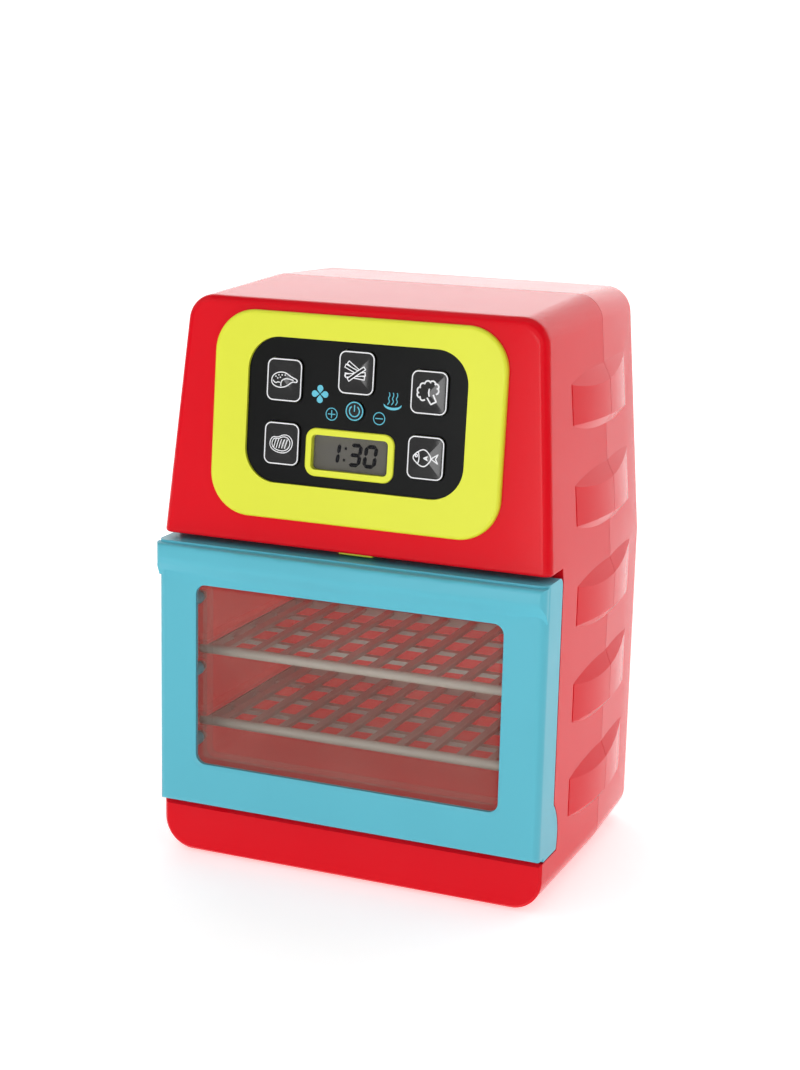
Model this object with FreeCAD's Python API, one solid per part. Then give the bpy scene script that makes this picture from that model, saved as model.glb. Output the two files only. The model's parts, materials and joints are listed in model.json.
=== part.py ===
"""Toy air fryer: a two-shell red casing with a leaning control head, an oven tub with two
pull-out racks, and a bottom-hinged door with a bowed grip lip and a smoked window.

Millimetres, +Z up, front towards -Y, origin on the floor under the middle of the casing.
"""

import FreeCAD
import Part
import math
import os

V = FreeCAD.Vector

# Casing
DEPTH_FRONT = -48.2
REAR_Y = 55.0
SEAM_Y = 13.2
BASE_Y = -46.8
HALF_SEAM = 69.2
FRONT_NARROW = 0.3
REAR_NARROW = 2.0
HALF_FRONT = HALF_SEAM - FRONT_NARROW
HALF_REAR = HALF_SEAM - REAR_NARROW
SEAM_GAP = 0.3
TONGUE = 1.6
TONGUE_FIT = 0.1
TOP_SEAM = 195.0
FRONT_DROP = 2.5
REAR_DROP = 1.1
TOP_FRONT = TOP_SEAM - FRONT_DROP
TOP_REAR = TOP_SEAM - REAR_DROP
HEAD_SHARE = 113.0 / 195.0
HEAD_Z = TOP_SEAM * HEAD_SHARE
KNEE_DROP = 4.0
KNEE_Z = HEAD_Z - KNEE_DROP
SIDE_LEAN = 4.7
BOTTOM_CORNER = 10.5
TOP_CORNER = 9.0
WALL = 2.0
FRONT_EDGE = 3.0
REAR_EDGE = 3.0
LEDGE_EDGE = 1.0
FOOT_HEIGHT = 0.8
FOOT_RADIUS = 3.0
FOOT_INSET = 14.9
FOOT_X = HALF_FRONT - FOOT_INSET
FOOT_FRONT_Y = -36.0
FOOT_REAR_Y = 42.0
BASE_TOP = 17.5
RECESS_Y = -36.0
HEAD_LEAN = 4.71

# Side bulges
BULGE_SHARES = (0.1974, 0.3656, 0.5338)
BULGE_HEAD_SHARES = (0.7036, 0.8718)
BULGE_TOPS = [TOP_SEAM * share for share in BULGE_SHARES]
BULGE_HEAD_TOPS = [TOP_SEAM * share for share in BULGE_HEAD_SHARES]
BULGE_FRONT_Y = -20.8
BULGE_REAR_Y = 41.2
BULGE_PROUD = 2.15
BULGE_END_HEIGHT = 13.0
BULGE_RISE = 3.0
BULGE_DROP = 4.2
BULGE_TOP_SLOPE = 2.5
BULGE_BOTTOM_SLOPE = 1.43
BULGE_ROOT = 1.2

# Oven tub and racks
TUB_GAP = 0.3
TUB_WALL = 1.5
TUB_BOTTOM = 26.5
TUB_DROP = 2.0
TUB_TOP = HEAD_Z - TUB_DROP
TUB_BACK = 46.0
TUB_CORNER = 6.0
RUNNER_WIDTH = 4.6
RUNNER_THICK = 1.6
RUNNER_SLACK = 0.5
RACK_BAR = 3.5
RACK_WIRE = 3.0
RACK_CLEARANCE = 0.43
RACK_FRONT = -31.8
RACK_BACK = 43.0
RACK_LEVELS = {"upper_rack": 66.9, "lower_rack": 40.9}
RACK_PITCH = 11.0
RACK_CROSS_COUNT = 3

# Door
DOOR_BACK_GAP = 0.5
DOOR_FIELD_Y = -51.1
DOOR_HALF = HALF_FRONT
DOOR_BOTTOM = 19.2
DOOR_DROP = 1.9
DOOR_TOP = HEAD_Z - DOOR_DROP
DOOR_WALL = 2.0
DOOR_EDGE = 3.0
LIP_BOW = 1.4
LIP_FRONT = -55.0
LIP_HEIGHT = 13.3
LIP_ROOT = DOOR_TOP - LIP_HEIGHT
LIP_CROWN = 9.0
LIP_SINK = 1.0
LIP_SWELL = 1.2
LIP_SWELL_SHARE = 0.22
LIP_NOSE_SHARE = 0.5
LIP_BACKSET = 0.3
LIP_ROUNDS = (1.5, 6.0, 5.0, 1.6, 8.0)
DOOR_STILE = 14.25
WINDOW_HALF = DOOR_HALF - DOOR_STILE
WINDOW_BOTTOM = 34.1
WINDOW_DROP = 14.1
WINDOW_TOP = DOOR_TOP - WINDOW_DROP
WINDOW_CORNER = 3.5
WINDOW_BEVEL = 1.7
WINDOW_BEVEL_DEPTH = 0.4
PANE_RECESS = 0.8
PANE_WALL = 1.5
PANE_GAP = 0.2
TRAY_BACK = -41.5
FLANGE = 6.5
HINGE_Y = -46.8
HINGE_Z = 23.3
HINGE_INSET = 20.9
HINGE_X = DOOR_HALF - HINGE_INSET
ARM_WIDTH = 4.0
ARM_THICK = 4.0
CHEEK = 2.4
CHEEK_GAP = 0.35
CHEEK_RIM = 0.6
PIN_RADIUS = 1.0
PIN_RUNNING = 0.06
PIN_SEAT = 0.02
HEEL_RADIUS = 15.3
HEEL_GAP = 0.35
HEEL_BOTTOM = 17.9
CATCH_X = 1.0
CATCH_WIDTH = 12.0
CATCH_THICK = 1.0
CATCH_SETBACK = 2.5
CATCH_STEM = 8.0

# Control panel, measured up the leaning head from PANEL_ORIGIN_Z
PANEL_RISE = 0.8
PANEL_ORIGIN_Z = HEAD_Z + PANEL_RISE
BEZEL_SIDE_MARGIN = 18.15
BEZEL_LOW = 8.2
BEZEL_HIGH_MARGIN = 3.0
BEZEL_WIDTH = 2 * (HALF_FRONT - BEZEL_SIDE_MARGIN)
BEZEL_HEIGHT = TOP_FRONT - PANEL_ORIGIN_Z - BEZEL_LOW - BEZEL_HIGH_MARGIN
BEZEL_CORNER = 14.0
BEZEL_PROUD = 2.0
BEZEL_EDGE = 1.3
BEZEL_FLANGE = 2.2
BEZEL_FIT = 0.2
FLOOR_TOP = 0.2
FLOOR_THICK = 1.6
PLATE_SIDE_MARGIN = 12.5
PLATE_LOW_MARGIN = 11.9
PLATE_HIGH_MARGIN = 8.1
PLATE_WIDTH = BEZEL_WIDTH - 2 * PLATE_SIDE_MARGIN
PLATE_HEIGHT = BEZEL_HEIGHT - PLATE_LOW_MARGIN - PLATE_HIGH_MARGIN
PLATE_LOW = BEZEL_LOW + PLATE_LOW_MARGIN
PLATE_CORNER = 11.0
PLATE_THICK = 0.8
PLATE_FIT = 0.1
KEY_WIDTH_SHARE = 12.6 / 76.5
KEY_WIDTH = PLATE_WIDTH * KEY_WIDTH_SHARE
KEY_SHARE = 14.0 / 47.5
KEY_HEIGHT = PLATE_HEIGHT * KEY_SHARE
KEY_COLUMN_SHARE = 25.2 / 76.5
KEY_COLUMN = PLATE_WIDTH * KEY_COLUMN_SHARE
LOW_ROW_SHARE = 13.0 / 47.5
HIGH_ROW_SHARE = 33.7 / 47.5
TOP_ROW_SHARE = 37.9 / 47.5
POWER_SHARE = 25.7 / 47.5
DISPLAY_SHARE = 11.3 / 47.5
LOW_ROW = PLATE_LOW + PLATE_HEIGHT * LOW_ROW_SHARE
HIGH_ROW = PLATE_LOW + PLATE_HEIGHT * HIGH_ROW_SHARE
TOP_ROW = PLATE_LOW + PLATE_HEIGHT * TOP_ROW_SHARE
KEY_CORNER = 2.5
KEY_PROUD = 0.9
KEY_PEAK = 0.7
CROWN_INSET = 1.2
KEY_FIT = 0.25
KEY_FLANGE = 0.6
KEY_FLANGE_THICK = 1.0
KEY_TRAVEL = 1.0
KEY_PLACES = {
    "poultry_key": (-KEY_COLUMN, HIGH_ROW),
    "sticks_key": (0.0, TOP_ROW),
    "greens_key": (KEY_COLUMN, HIGH_ROW),
    "potato_key": (-KEY_COLUMN, LOW_ROW),
    "fish_key": (KEY_COLUMN, LOW_ROW),
}
POWER_PLACE = (0.0, PLATE_LOW + PLATE_HEIGHT * POWER_SHARE)
POWER_RADIUS_SHARE = 3.2 / 14.0
POWER_RADIUS = KEY_HEIGHT * POWER_RADIUS_SHARE
DISPLAY_SHIFT_SHARE = -1.3 / 76.5
DISPLAY_PLACE = (PLATE_WIDTH * DISPLAY_SHIFT_SHARE, PLATE_LOW + PLATE_HEIGHT * DISPLAY_SHARE)
DISPLAY_WIDTH_SHARE = 26.8 / 76.5
DISPLAY_HEIGHT_SHARE = 0.24
DISPLAY_WIDTH = PLATE_WIDTH * DISPLAY_WIDTH_SHARE
DISPLAY_HEIGHT = PLATE_HEIGHT * DISPLAY_HEIGHT_SHARE
DISPLAY_CORNER = 1.5
DISPLAY_RIM = 2.1
DISPLAY_RIM_PROUD = 0.6
MODULE_MARGIN = 2.2
SMALL_CORNER = 0.5
BOARD_DROP = 4.4
BOARD_THICK = 1.6
BOARD_MARGIN = 6.75
BOARD_END_MARGIN = 5.8
BOARD_HALF = BEZEL_WIDTH / 2 - BOARD_MARGIN
BOARD_LOW = BEZEL_LOW + BOARD_END_MARGIN
BOARD_HIGH = BEZEL_LOW + BEZEL_HEIGHT - BOARD_END_MARGIN
BOARD_INSET = 3.0
BOARD_CORNER = 2.0
CHIP_RADIUS = 6.0
CHIP_THICK = 1.2
PAD_THICK = 0.8
DOME_GAP = 0.15
DOME_RADIUS = 3.0
SNAP_SPREAD = 15.0
SNAP_WIDTH = 6.0
SNAP_THICK = 1.5
SNAP_GRIP = 1.0
SNAP_REACH = 2.0

# Fasteners
SCREW_SHANK = 1.5
SCREW_HEAD = 2.8
SCREW_HEAD_THICK = 2.0
SCREW_LENGTH = 14.0
SCREW_CLEAR = 0.2
SCREW_BITE = 0.05
BOSS_RADIUS = 4.0
CASE_SCREW_DROP = 12.0
CASE_SCREW_INSETS = ((13.9, 14.0), (20.9, TOP_SEAM - CASE_SCREW_DROP))
SMALL_SHANK = 1.0
SMALL_HEAD = 1.9
SMALL_HEAD_THICK = 1.2
SMALL_BOSS = 2.4
SCREW_FLATS_COUNT = 16
SHANK_FLATS_COUNT = 8
LINER_SCREW_X = 38.0
LINER_SCREW_Y = -8.0
LINER_POST_TOP = 20.0

# Rear fittings
BATTERY_RADIUS = 7.15
BATTERY_LENGTH = 49.0
BATTERY_CAP = 1.5
BATTERY_CAP_RADIUS = 2.7
BATTERY_PITCH = 15.2
BATTERY_COUNT = 3
BATTERY_ROOM = 0.3
CELL_FLATS_COUNT = 24
CONTACT_THICK = 0.5
CONTACT_HALF = 5.5
BUTTON_RADIUS = 2.5
COIL_RADIUS = 3.5
CONTACT_ROOM = 3.2
WELL_WALL = 1.6
WELL_X = -24.0
WELL_DROP = 47.0
WELL_Z = TOP_SEAM - WELL_DROP
COVER_THICK = 2.0
COVER_LIP = 3.0
COVER_GAP = 0.3
COVER_CORNER = 1.5
COVER_LUG = 4.2
COVER_BOSS_DEPTH = 9.0
COVER_SCREW_LENGTH = 6.0
COVER_SCREW_ROOM = 0.3
GROOVE_COUNT = 3
GROOVE_PITCH = 2.5
GROOVE_WIDTH = 1.0
GROOVE_DEPTH = 0.5
GROOVE_HALF = 8.0
SPEAKER_RADIUS = 17.5
SPEAKER_INSET = 29.2
SPEAKER_DROP = 49.0
SPEAKER_X = HALF_REAR - SPEAKER_INSET
SPEAKER_Z = TOP_SEAM - SPEAKER_DROP
SPEAKER_THICK = 4.0
MAGNET_RADIUS = 9.0
MAGNET_THICK = 5.0
CLIP_DEPTH = 5.0
CLIP_HALF = 3.0
GRILLE_SLOT = 1.6
GRILLE_PITCH = 4.4
GRILLE_REACH = 13.0
SWITCH_DROP = 22.5
SWITCH_Z = TOP_SEAM - SWITCH_DROP
SWITCH_WIDTH = 16.0
SWITCH_HEIGHT = 8.0
SWITCH_DEPTH = 6.0
SWITCH_TRAVEL = 3.0
SLOT_CORNER = 0.8
KNOB_WIDTH = 4.0
KNOB_HEIGHT = 5.0
KNOB_PROUD = -0.3
KNOB_GAP = 0.3
KNOB_NICK = 0.4

FLOOR_Z = FOOT_HEIGHT
FAR = 300.0
NEAR = 0.01
RIGHT = V(1, 0, 0)
BACKWARD = V(0, 1, 0)
UPWARD = V(0, 0, 1)


# Shared shapes


def box(x0, x1, y0, y1, z0, z1):
    """A block between two corners."""
    return Part.makeBox(x1 - x0, y1 - y0, z1 - z0, V(x0, y0, z0))


def rod(radius, start, direction, length):
    """A round bar from a start point."""
    return Part.makeCylinder(radius, length, start, direction)


def drum(radius, start, direction, length, count):
    """A bar of many flats whose corners lie on a radius, for small pieces that repeat."""
    across = BACKWARD if abs(direction.y) < 0.5 else RIGHT
    points = []
    for step in range(count):
        turn = FreeCAD.Rotation(direction, 360 * (step + 0.5) / count)
        points.append(start + turn.multVec(across) * radius)
    return Part.Face(Part.makePolygon(points + [points[0]])).extrude(direction * length)


def drum_hole(radius, start, direction, length, count):
    """A drum whose flats, not its corners, lie on the radius, for cutting a hole."""
    return drum(radius / math.cos(math.pi / count), start, direction, length, count)


def rounded_wire(points, radii):
    """A closed outline of straight runs whose corners are arcs, each with its own radius."""
    corners = []
    for index, point in enumerate(points):
        radius = radii[index]
        before = (points[index - 1] - point).normalize()
        after = (points[(index + 1) % len(points)] - point).normalize()
        if radius == 0:
            corners.append((point, None, point))
            continue
        half = before.getAngle(after) / 2
        middle = (before + after).normalize()
        reach = radius / math.tan(half)
        top = point + middle * (radius / math.sin(half) - radius)
        corners.append((point + before * reach, top, point + after * reach))
    edges = []
    for index, (start, top, end) in enumerate(corners):
        if top is not None:
            edges.append(Part.Arc(start, top, end).toShape())
        following = corners[(index + 1) % len(corners)][0]
        if end.distanceToPoint(following) > 1e-6:
            edges.append(Part.LineSegment(end, following).toShape())
    return Part.Wire(edges)


def slab(points, radii, direction):
    """The rounded outline as a solid pushed along a direction."""
    return Part.Face(rounded_wire(points, radii)).extrude(direction)


def side_slab(profile, radii, half):
    """A side-view outline of (y, z) points pushed across the part, to a half-width."""
    return slab([V(-half, y, z) for y, z in profile], radii, RIGHT * (2 * half))


def rounded_plate(width, height, corner, low, thick, centre=(0.0, 0.0)):
    """A rounded rectangle in the panel's own X and Y, from a level outwards."""
    x, y = centre
    points = [
        V(x - width / 2, y - height / 2, low),
        V(x + width / 2, y - height / 2, low),
        V(x + width / 2, y + height / 2, low),
        V(x - width / 2, y + height / 2, low),
    ]
    return slab(points, [corner] * 4, UPWARD * thick)


def front_plate(half, low, high, corner, y0, y1, centre=0.0):
    """A rounded rectangle in front view, between two depths."""
    points = [
        V(centre - half, y0, low),
        V(centre + half, y0, low),
        V(centre + half, y0, high),
        V(centre - half, y0, high),
    ]
    return slab(points, [corner] * 4, BACKWARD * (y1 - y0))


def mirrored(shape):
    """The same shape on the other side of the middle plane."""
    return shape.mirror(V(0, 0, 0), RIGHT)


def fused(shapes):
    """All the shapes as one, with their shared faces joined."""
    first = shapes[0]
    if len(shapes) == 1:
        return first
    return first.multiFuse(shapes[1:]).removeSplitter()


def on_head(shape):
    """Moves a shape from the panel's own frame onto the leaning face of the head."""
    angle = math.radians(HEAD_LEAN)
    sine = math.sin(angle)
    cosine = math.cos(angle)
    base_y = DEPTH_FRONT + (PANEL_ORIGIN_Z - HEAD_Z) * math.tan(angle)
    turn = FreeCAD.Matrix(
        1, 0, 0, 0,
        0, sine, -cosine, base_y,
        0, cosine, sine, PANEL_ORIGIN_Z,
        0, 0, 0, 1,
    )
    moved = shape.copy()
    moved.Placement = FreeCAD.Placement(turn).multiply(moved.Placement)
    return moved


def screw(head_at, direction, shank, head, head_thick, length):
    """A flat-topped screw whose head's underside is at a point and whose shank runs onward."""
    body = drum(shank, head_at, direction, length, SHANK_FLATS_COUNT)
    top = head_at + direction * -head_thick
    cap = drum(head, top, direction, head_thick, SCREW_FLATS_COUNT)
    return fused([body, cap])


def boss(radius, start, direction, length):
    """A moulded post for a screw."""
    return drum(radius, start, direction, length, SCREW_FLATS_COUNT)


def screw_hole(radius, start, direction, length):
    """A hole for a screw's shank or head."""
    return drum_hole(radius, start, direction, length, SHANK_FLATS_COUNT)


# Casing


def casing_outline(y, half, top, inset):
    """The casing's front-view outline at one depth, optionally drawn in by a wall."""
    narrow = (top - KNEE_Z) * math.tan(math.radians(SIDE_LEAN))
    low = FLOOR_Z + inset
    wide = half - inset
    points = [
        V(-wide, y, low),
        V(wide, y, low),
        V(wide, y, KNEE_Z),
        V(wide - narrow, y, top - inset),
        V(-wide + narrow, y, top - inset),
        V(-wide, y, KNEE_Z),
    ]
    bottom = BOTTOM_CORNER - inset
    upper = TOP_CORNER - inset
    return rounded_wire(points, [bottom, bottom, 0, upper, upper, 0])


def rear_outline(y, inset):
    """The outline behind the seam at one depth, where the casing narrows and drops a little."""
    share = (y - SEAM_Y) / (REAR_Y - SEAM_Y)
    half = HALF_SEAM - REAR_NARROW * share
    top = TOP_SEAM + (TOP_REAR - TOP_SEAM) * share
    return casing_outline(y, half, top, inset)


def front_block(inset):
    """The casing before the seam as a straight-drafted solid."""
    end = casing_outline(DEPTH_FRONT, HALF_FRONT, TOP_FRONT, inset)
    return Part.makeLoft([end, rear_outline(SEAM_Y, inset)], True, True)


def rear_block(inset, rim):
    """The casing behind the seam, its rear rim taken off in two steps."""
    outlines = [rear_outline(SEAM_Y, inset)]
    for angle in (0, 45, 90):
        across = rim * (1 - math.cos(math.radians(angle)))
        ahead = rim * (1 - math.sin(math.radians(angle)))
        outlines.append(rear_outline(REAR_Y - inset - ahead, inset + across))
    return Part.makeLoft(outlines, True, True)


def head_front_y(z):
    """Depth of the leaning head face at a height."""
    return DEPTH_FRONT + (z - HEAD_Z) * math.tan(math.radians(HEAD_LEAN))


def front_profile(inset):
    """Side view of the front shell: base, door recess and leaning head."""
    lean = math.radians(HEAD_LEAN)
    shift = inset / math.cos(lean)
    high = TOP_SEAM + WALL
    points = [
        (BASE_Y + inset, -FAR),
        (BASE_Y + inset, BASE_TOP - inset),
        (RECESS_Y + inset, BASE_TOP - inset),
        (RECESS_Y + inset, HEAD_Z + inset),
        (head_front_y(HEAD_Z + inset) + shift, HEAD_Z + inset),
        (head_front_y(high) + shift, high),
        (FAR, high),
        (FAR, -FAR),
    ]
    return side_slab(points, [0] * len(points), FAR)


def edges_on(shape, test):
    """The edges whose ends and middle all pass a test."""
    found = []
    for edge in shape.Edges:
        first, last = edge.ParameterRange
        spots = [edge.valueAt(first + (last - first) * k / 4) for k in range(5)]
        if all(test(spot) for spot in spots):
            found.append(edge)
    return found


def bulge(top):
    """One side bulge: a plan lens cut by a steep upper facet and a flatter lower one."""
    wall = HALF_SEAM
    bottom = top - BULGE_END_HEIGHT
    middle = (BULGE_FRONT_Y + BULGE_REAR_Y) / 2
    slope = (HALF_REAR - HALF_SEAM) / (REAR_Y - SEAM_Y)
    rear_wall = HALF_SEAM + slope * (BULGE_REAR_Y - SEAM_Y)
    tip = V(wall, BULGE_FRONT_Y, 0)
    peak = V(wall + BULGE_PROUD, middle, 0)
    tail = V(rear_wall, BULGE_REAR_Y, 0)
    root_tip = tip - RIGHT * BULGE_ROOT
    root_tail = tail - RIGHT * (BULGE_ROOT / 2)
    lens = Part.Wire(
        [
            Part.Arc(tip, peak, tail).toShape(),
            Part.LineSegment(tail, root_tail).toShape(),
            Part.LineSegment(root_tail, root_tip).toShape(),
            Part.LineSegment(root_tip, tip).toShape(),
        ]
    )
    prism = Part.Face(lens).extrude(UPWARD * FAR)
    upper = bulge_facet(top, BULGE_RISE, -BULGE_TOP_SLOPE, -FAR)
    lower = bulge_facet(bottom, -BULGE_DROP, BULGE_BOTTOM_SLOPE, FAR)
    return prism.common(upper).common(lower)


def bulge_facet(level, sagitta, slope, beyond):
    """The space on one side of a facet that runs outwards at a slope from an arc on the wall."""
    back_off = 3.0
    inside = HALF_SEAM - back_off
    lift = -slope * back_off
    middle = (BULGE_FRONT_Y + BULGE_REAR_Y) / 2
    start = V(inside, BULGE_FRONT_Y, level + lift)
    top = V(inside, middle, level + sagitta + lift)
    end = V(inside, BULGE_REAR_Y, level + lift)
    far_end = end + UPWARD * beyond
    far_start = start + UPWARD * beyond
    wire = Part.Wire(
        [
            Part.Arc(start, top, end).toShape(),
            Part.LineSegment(end, far_end).toShape(),
            Part.LineSegment(far_end, far_start).toShape(),
            Part.LineSegment(far_start, start).toShape(),
        ]
    )
    reach = 2 * back_off
    return Part.Face(wire).extrude(V(reach, 0, slope * reach))


def bulges():
    """All the side bulges of the right-hand wall and their mirror images."""
    straight = [bulge(top) for top in BULGE_TOPS]
    knee = V(HALF_SEAM, 0, KNEE_Z)
    leaning = []
    for top in BULGE_HEAD_TOPS:
        tilted = bulge(top)
        tilted.rotate(knee, BACKWARD, -SIDE_LEAN)
        leaning.append(tilted)
    right = straight + leaning
    return right + [mirrored(shape) for shape in right]


def before_seam(shape):
    """The piece of a shape in front of the seam."""
    return shape.common(box(-FAR, FAR, -FAR, SEAM_Y, -FAR, FAR))


def behind_seam(shape):
    """The piece of a shape behind the seam and its shadow gap."""
    return shape.common(box(-FAR, FAR, SEAM_Y + SEAM_GAP, FAR, -FAR, FAR))


def seam_layer(inset, depth):
    """The casing's outline at the seam, drawn in by an inset, pushed rearwards."""
    return Part.Face(rear_outline(SEAM_Y, inset)).extrude(BACKWARD * depth)


def seam_tongue():
    """The inner half of the front shell's wall, running on into the rear shell."""
    return seam_layer(WALL / 2 + TONGUE_FIT, TONGUE).cut(seam_layer(WALL, TONGUE))


def seam_rebate():
    """What the rear shell's wall lacks for the tongue and for the shadow gap at the seam."""
    for_tongue = seam_layer(WALL / 2, TONGUE + TONGUE_FIT).cut(seam_layer(WALL, TONGUE + TONGUE_FIT))
    whole = box(-FAR, FAR, SEAM_Y, SEAM_Y + SEAM_GAP, -FAR, FAR)
    return for_tongue.fuse(whole.cut(seam_layer(WALL / 2, SEAM_GAP)))


def case_screw_places():
    """Front-view places of the screws that join the shells, on both sides."""
    return [(side * (HALF_FRONT - x), z) for x, z in CASE_SCREW_INSETS for side in (-1, 1)]


def front_shell():
    """Front half of the casing: base, door recess, head face, screw posts and hinge arms."""
    outer = front_block(0).common(front_profile(0))
    lean = math.tan(math.radians(HEAD_LEAN))

    def on_head_face(spot):
        near = abs(spot.y - DEPTH_FRONT - (spot.z - HEAD_Z) * lean) < NEAR
        return near and spot.z > HEAD_Z - NEAR

    def on_base_face(spot):
        return abs(spot.y - BASE_Y) < NEAR and spot.z < BASE_TOP + NEAR

    head_edges = edges_on(outer, on_head_face)
    frame = [edge for edge in head_edges if edge.BoundBox.ZMax > HEAD_Z + 1]
    outer = outer.makeFillet(FRONT_EDGE, frame)
    outer = outer.makeChamfer(LEDGE_EDGE, edges_on(outer, on_base_face))
    sills = edges_on(outer, lambda p: abs(p.z - HEAD_Z) < NEAR and p.y < DEPTH_FRONT + 0.1)
    outer = outer.makeFillet(LEDGE_EDGE, sills)
    cavity = front_block(WALL).common(front_profile(WALL))
    shell = outer.fuse([before_seam(shape) for shape in bulges()]).cut(cavity)

    for x, z in case_screw_places():
        post = boss(BOSS_RADIUS, V(x, -FAR, z), BACKWARD, FAR + SEAM_Y)
        shell = shell.fuse(post.common(cavity))
    shell = shell.fuse(liner_posts().common(cavity)).fuse(seam_tongue())
    for x, z in case_screw_places():
        start = V(x, SEAM_Y - SCREW_LENGTH, z)
        shell = shell.cut(screw_hole(SCREW_SHANK + SCREW_BITE, start, BACKWARD, SCREW_LENGTH))
    for x in (-LINER_SCREW_X, LINER_SCREW_X):
        head_low = LINER_POST_TOP - WALL
        wide = SCREW_HEAD + SCREW_CLEAR
        shell = shell.cut(rod(wide, V(x, LINER_SCREW_Y, 0), UPWARD, head_low))
        through = SCREW_SHANK + SCREW_CLEAR
        shell = shell.cut(screw_hole(through, V(x, LINER_SCREW_Y, 0), UPWARD, LINER_POST_TOP))
    shell = shell.cut(tub_opening())
    shell = shell.cut(heel_space())
    shell = shell.cut(bezel_opening())
    shell = shell.cut(catch_slot())
    shell = shell.fuse([hinge_arm(-HINGE_X), hinge_arm(HINGE_X)])
    shell = shell.fuse([foot(side * FOOT_X, FOOT_FRONT_Y) for side in (-1, 1)])
    return shell.removeSplitter()


def foot(x, y):
    """A moulded nub that keeps the casing off the table."""
    return rod(FOOT_RADIUS, V(x, y, 0), UPWARD, FOOT_HEIGHT + WALL / 2)


def liner_posts():
    """Two hollow posts in the base that the oven tub is screwed down to."""
    posts = [
        boss(BOSS_RADIUS, V(x, LINER_SCREW_Y, 0), UPWARD, LINER_POST_TOP)
        for x in (-LINER_SCREW_X, LINER_SCREW_X)
    ]
    return posts[0].fuse(posts[1])


def tub_half():
    """Outside half-width of the oven tub, which slips between the casing walls."""
    return HALF_FRONT - WALL - TUB_GAP


def tub_opening():
    """The hole in the recess face that the oven tub fills."""
    half = tub_half() + TUB_GAP / 2
    low = TUB_BOTTOM - TUB_GAP / 2
    high = TUB_TOP + TUB_GAP / 2
    return front_plate(half, low, high, TUB_CORNER, RECESS_Y - WALL, RECESS_Y + 2 * WALL)


def heel_space():
    """Round notches in the side walls' front edges that the door's heels turn in."""
    inner = DOOR_HALF - DOOR_WALL - TUB_GAP / 2
    width = WALL * 2
    start = V(inner, HINGE_Y, HINGE_Z)
    disc = rod(HEEL_RADIUS + HEEL_GAP, start, RIGHT, width)
    over = box(inner, inner + width, -FAR, FAR, BASE_TOP, FAR)
    right = disc.common(over)
    return right.fuse(mirrored(right))


def hinge_arm(x):
    """A moulded arm that reaches forward from the recess face and carries a hinge pin."""
    half = ARM_WIDTH / 2
    start = V(x - half, HINGE_Y, HINGE_Z)
    round_end = rod(ARM_THICK / 2, start, RIGHT, ARM_WIDTH)
    low = HINGE_Z - ARM_THICK / 2
    bar = box(x - half, x + half, HINGE_Y, RECESS_Y + WALL, low, low + ARM_THICK)
    bore = rod(PIN_RADIUS + PIN_RUNNING, start, RIGHT, ARM_WIDTH)
    return round_end.fuse(bar).cut(bore)


def bezel_opening():
    """The hole in the head face that the bezel's skirt drops into."""
    width = BEZEL_WIDTH - 2 * BEZEL_FLANGE
    height = BEZEL_HEIGHT - 2 * BEZEL_FLANGE
    centre = (0.0, BEZEL_LOW + BEZEL_HEIGHT / 2)
    corner = BEZEL_CORNER - BEZEL_FLANGE
    return on_head(rounded_plate(width, height, corner, -2 * WALL, 3 * WALL, centre))


def catch_slot():
    """The slot in the head's floor for the catch's stem."""
    x0 = CATCH_X - CATCH_STEM / 2 - PLATE_FIT
    x1 = CATCH_X + CATCH_STEM / 2 + PLATE_FIT
    y0 = RECESS_Y - 3 * WALL - PLATE_FIT
    y1 = RECESS_Y - 2 * WALL + PLATE_FIT
    return box(x0, x1, y0, y1, HEAD_Z - WALL, HEAD_Z + 2 * WALL)


def rear_shell():
    """Rear half of the casing: battery well, speaker grille, switch slot and screw tunnels."""
    outer = rear_block(0, REAR_EDGE)
    cavity = rear_block(WALL, REAR_EDGE - WALL)
    shell = outer.fuse([behind_seam(shape) for shape in bulges()]).cut(cavity)
    for x, z in case_screw_places():
        post = boss(BOSS_RADIUS, V(x, SEAM_Y, z), BACKWARD, FAR)
        shell = shell.fuse(post.common(cavity))
    shell = shell.fuse(well_block().common(cavity))
    shell = shell.fuse(speaker_clips().common(cavity))
    shell = shell.cut(seam_rebate())
    for x, z in case_screw_places():
        wide = SCREW_HEAD + SCREW_CLEAR
        through = SCREW_SHANK + SCREW_CLEAR
        shell = shell.cut(screw_hole(through, V(x, SEAM_Y, z), BACKWARD, FAR))
        seat = V(x, SEAM_Y + case_head_depth(), z)
        shell = shell.cut(drum_hole(wide, seat, BACKWARD, FAR, SCREW_FLATS_COUNT))
    shell = shell.cut(well_hollow())
    shell = shell.cut(grille())
    shell = shell.cut(switch_slot())
    shell = shell.fuse([foot(side * FOOT_X, FOOT_REAR_Y) for side in (-1, 1)])
    return shell.removeSplitter()


def case_head_depth():
    """Distance behind the seam where the case screws' heads seat."""
    return SCREW_LENGTH / 2


def case_screws():
    """Four screws that hold the shells together, driven from the rear."""
    screws = []
    for x, z in case_screw_places():
        seat = V(x, SEAM_Y + case_head_depth(), z)
        screws.append(
            screw(seat, -BACKWARD, SCREW_SHANK, SCREW_HEAD, SCREW_HEAD_THICK, SCREW_LENGTH)
        )
    return Part.makeCompound(screws)


# Oven


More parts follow.
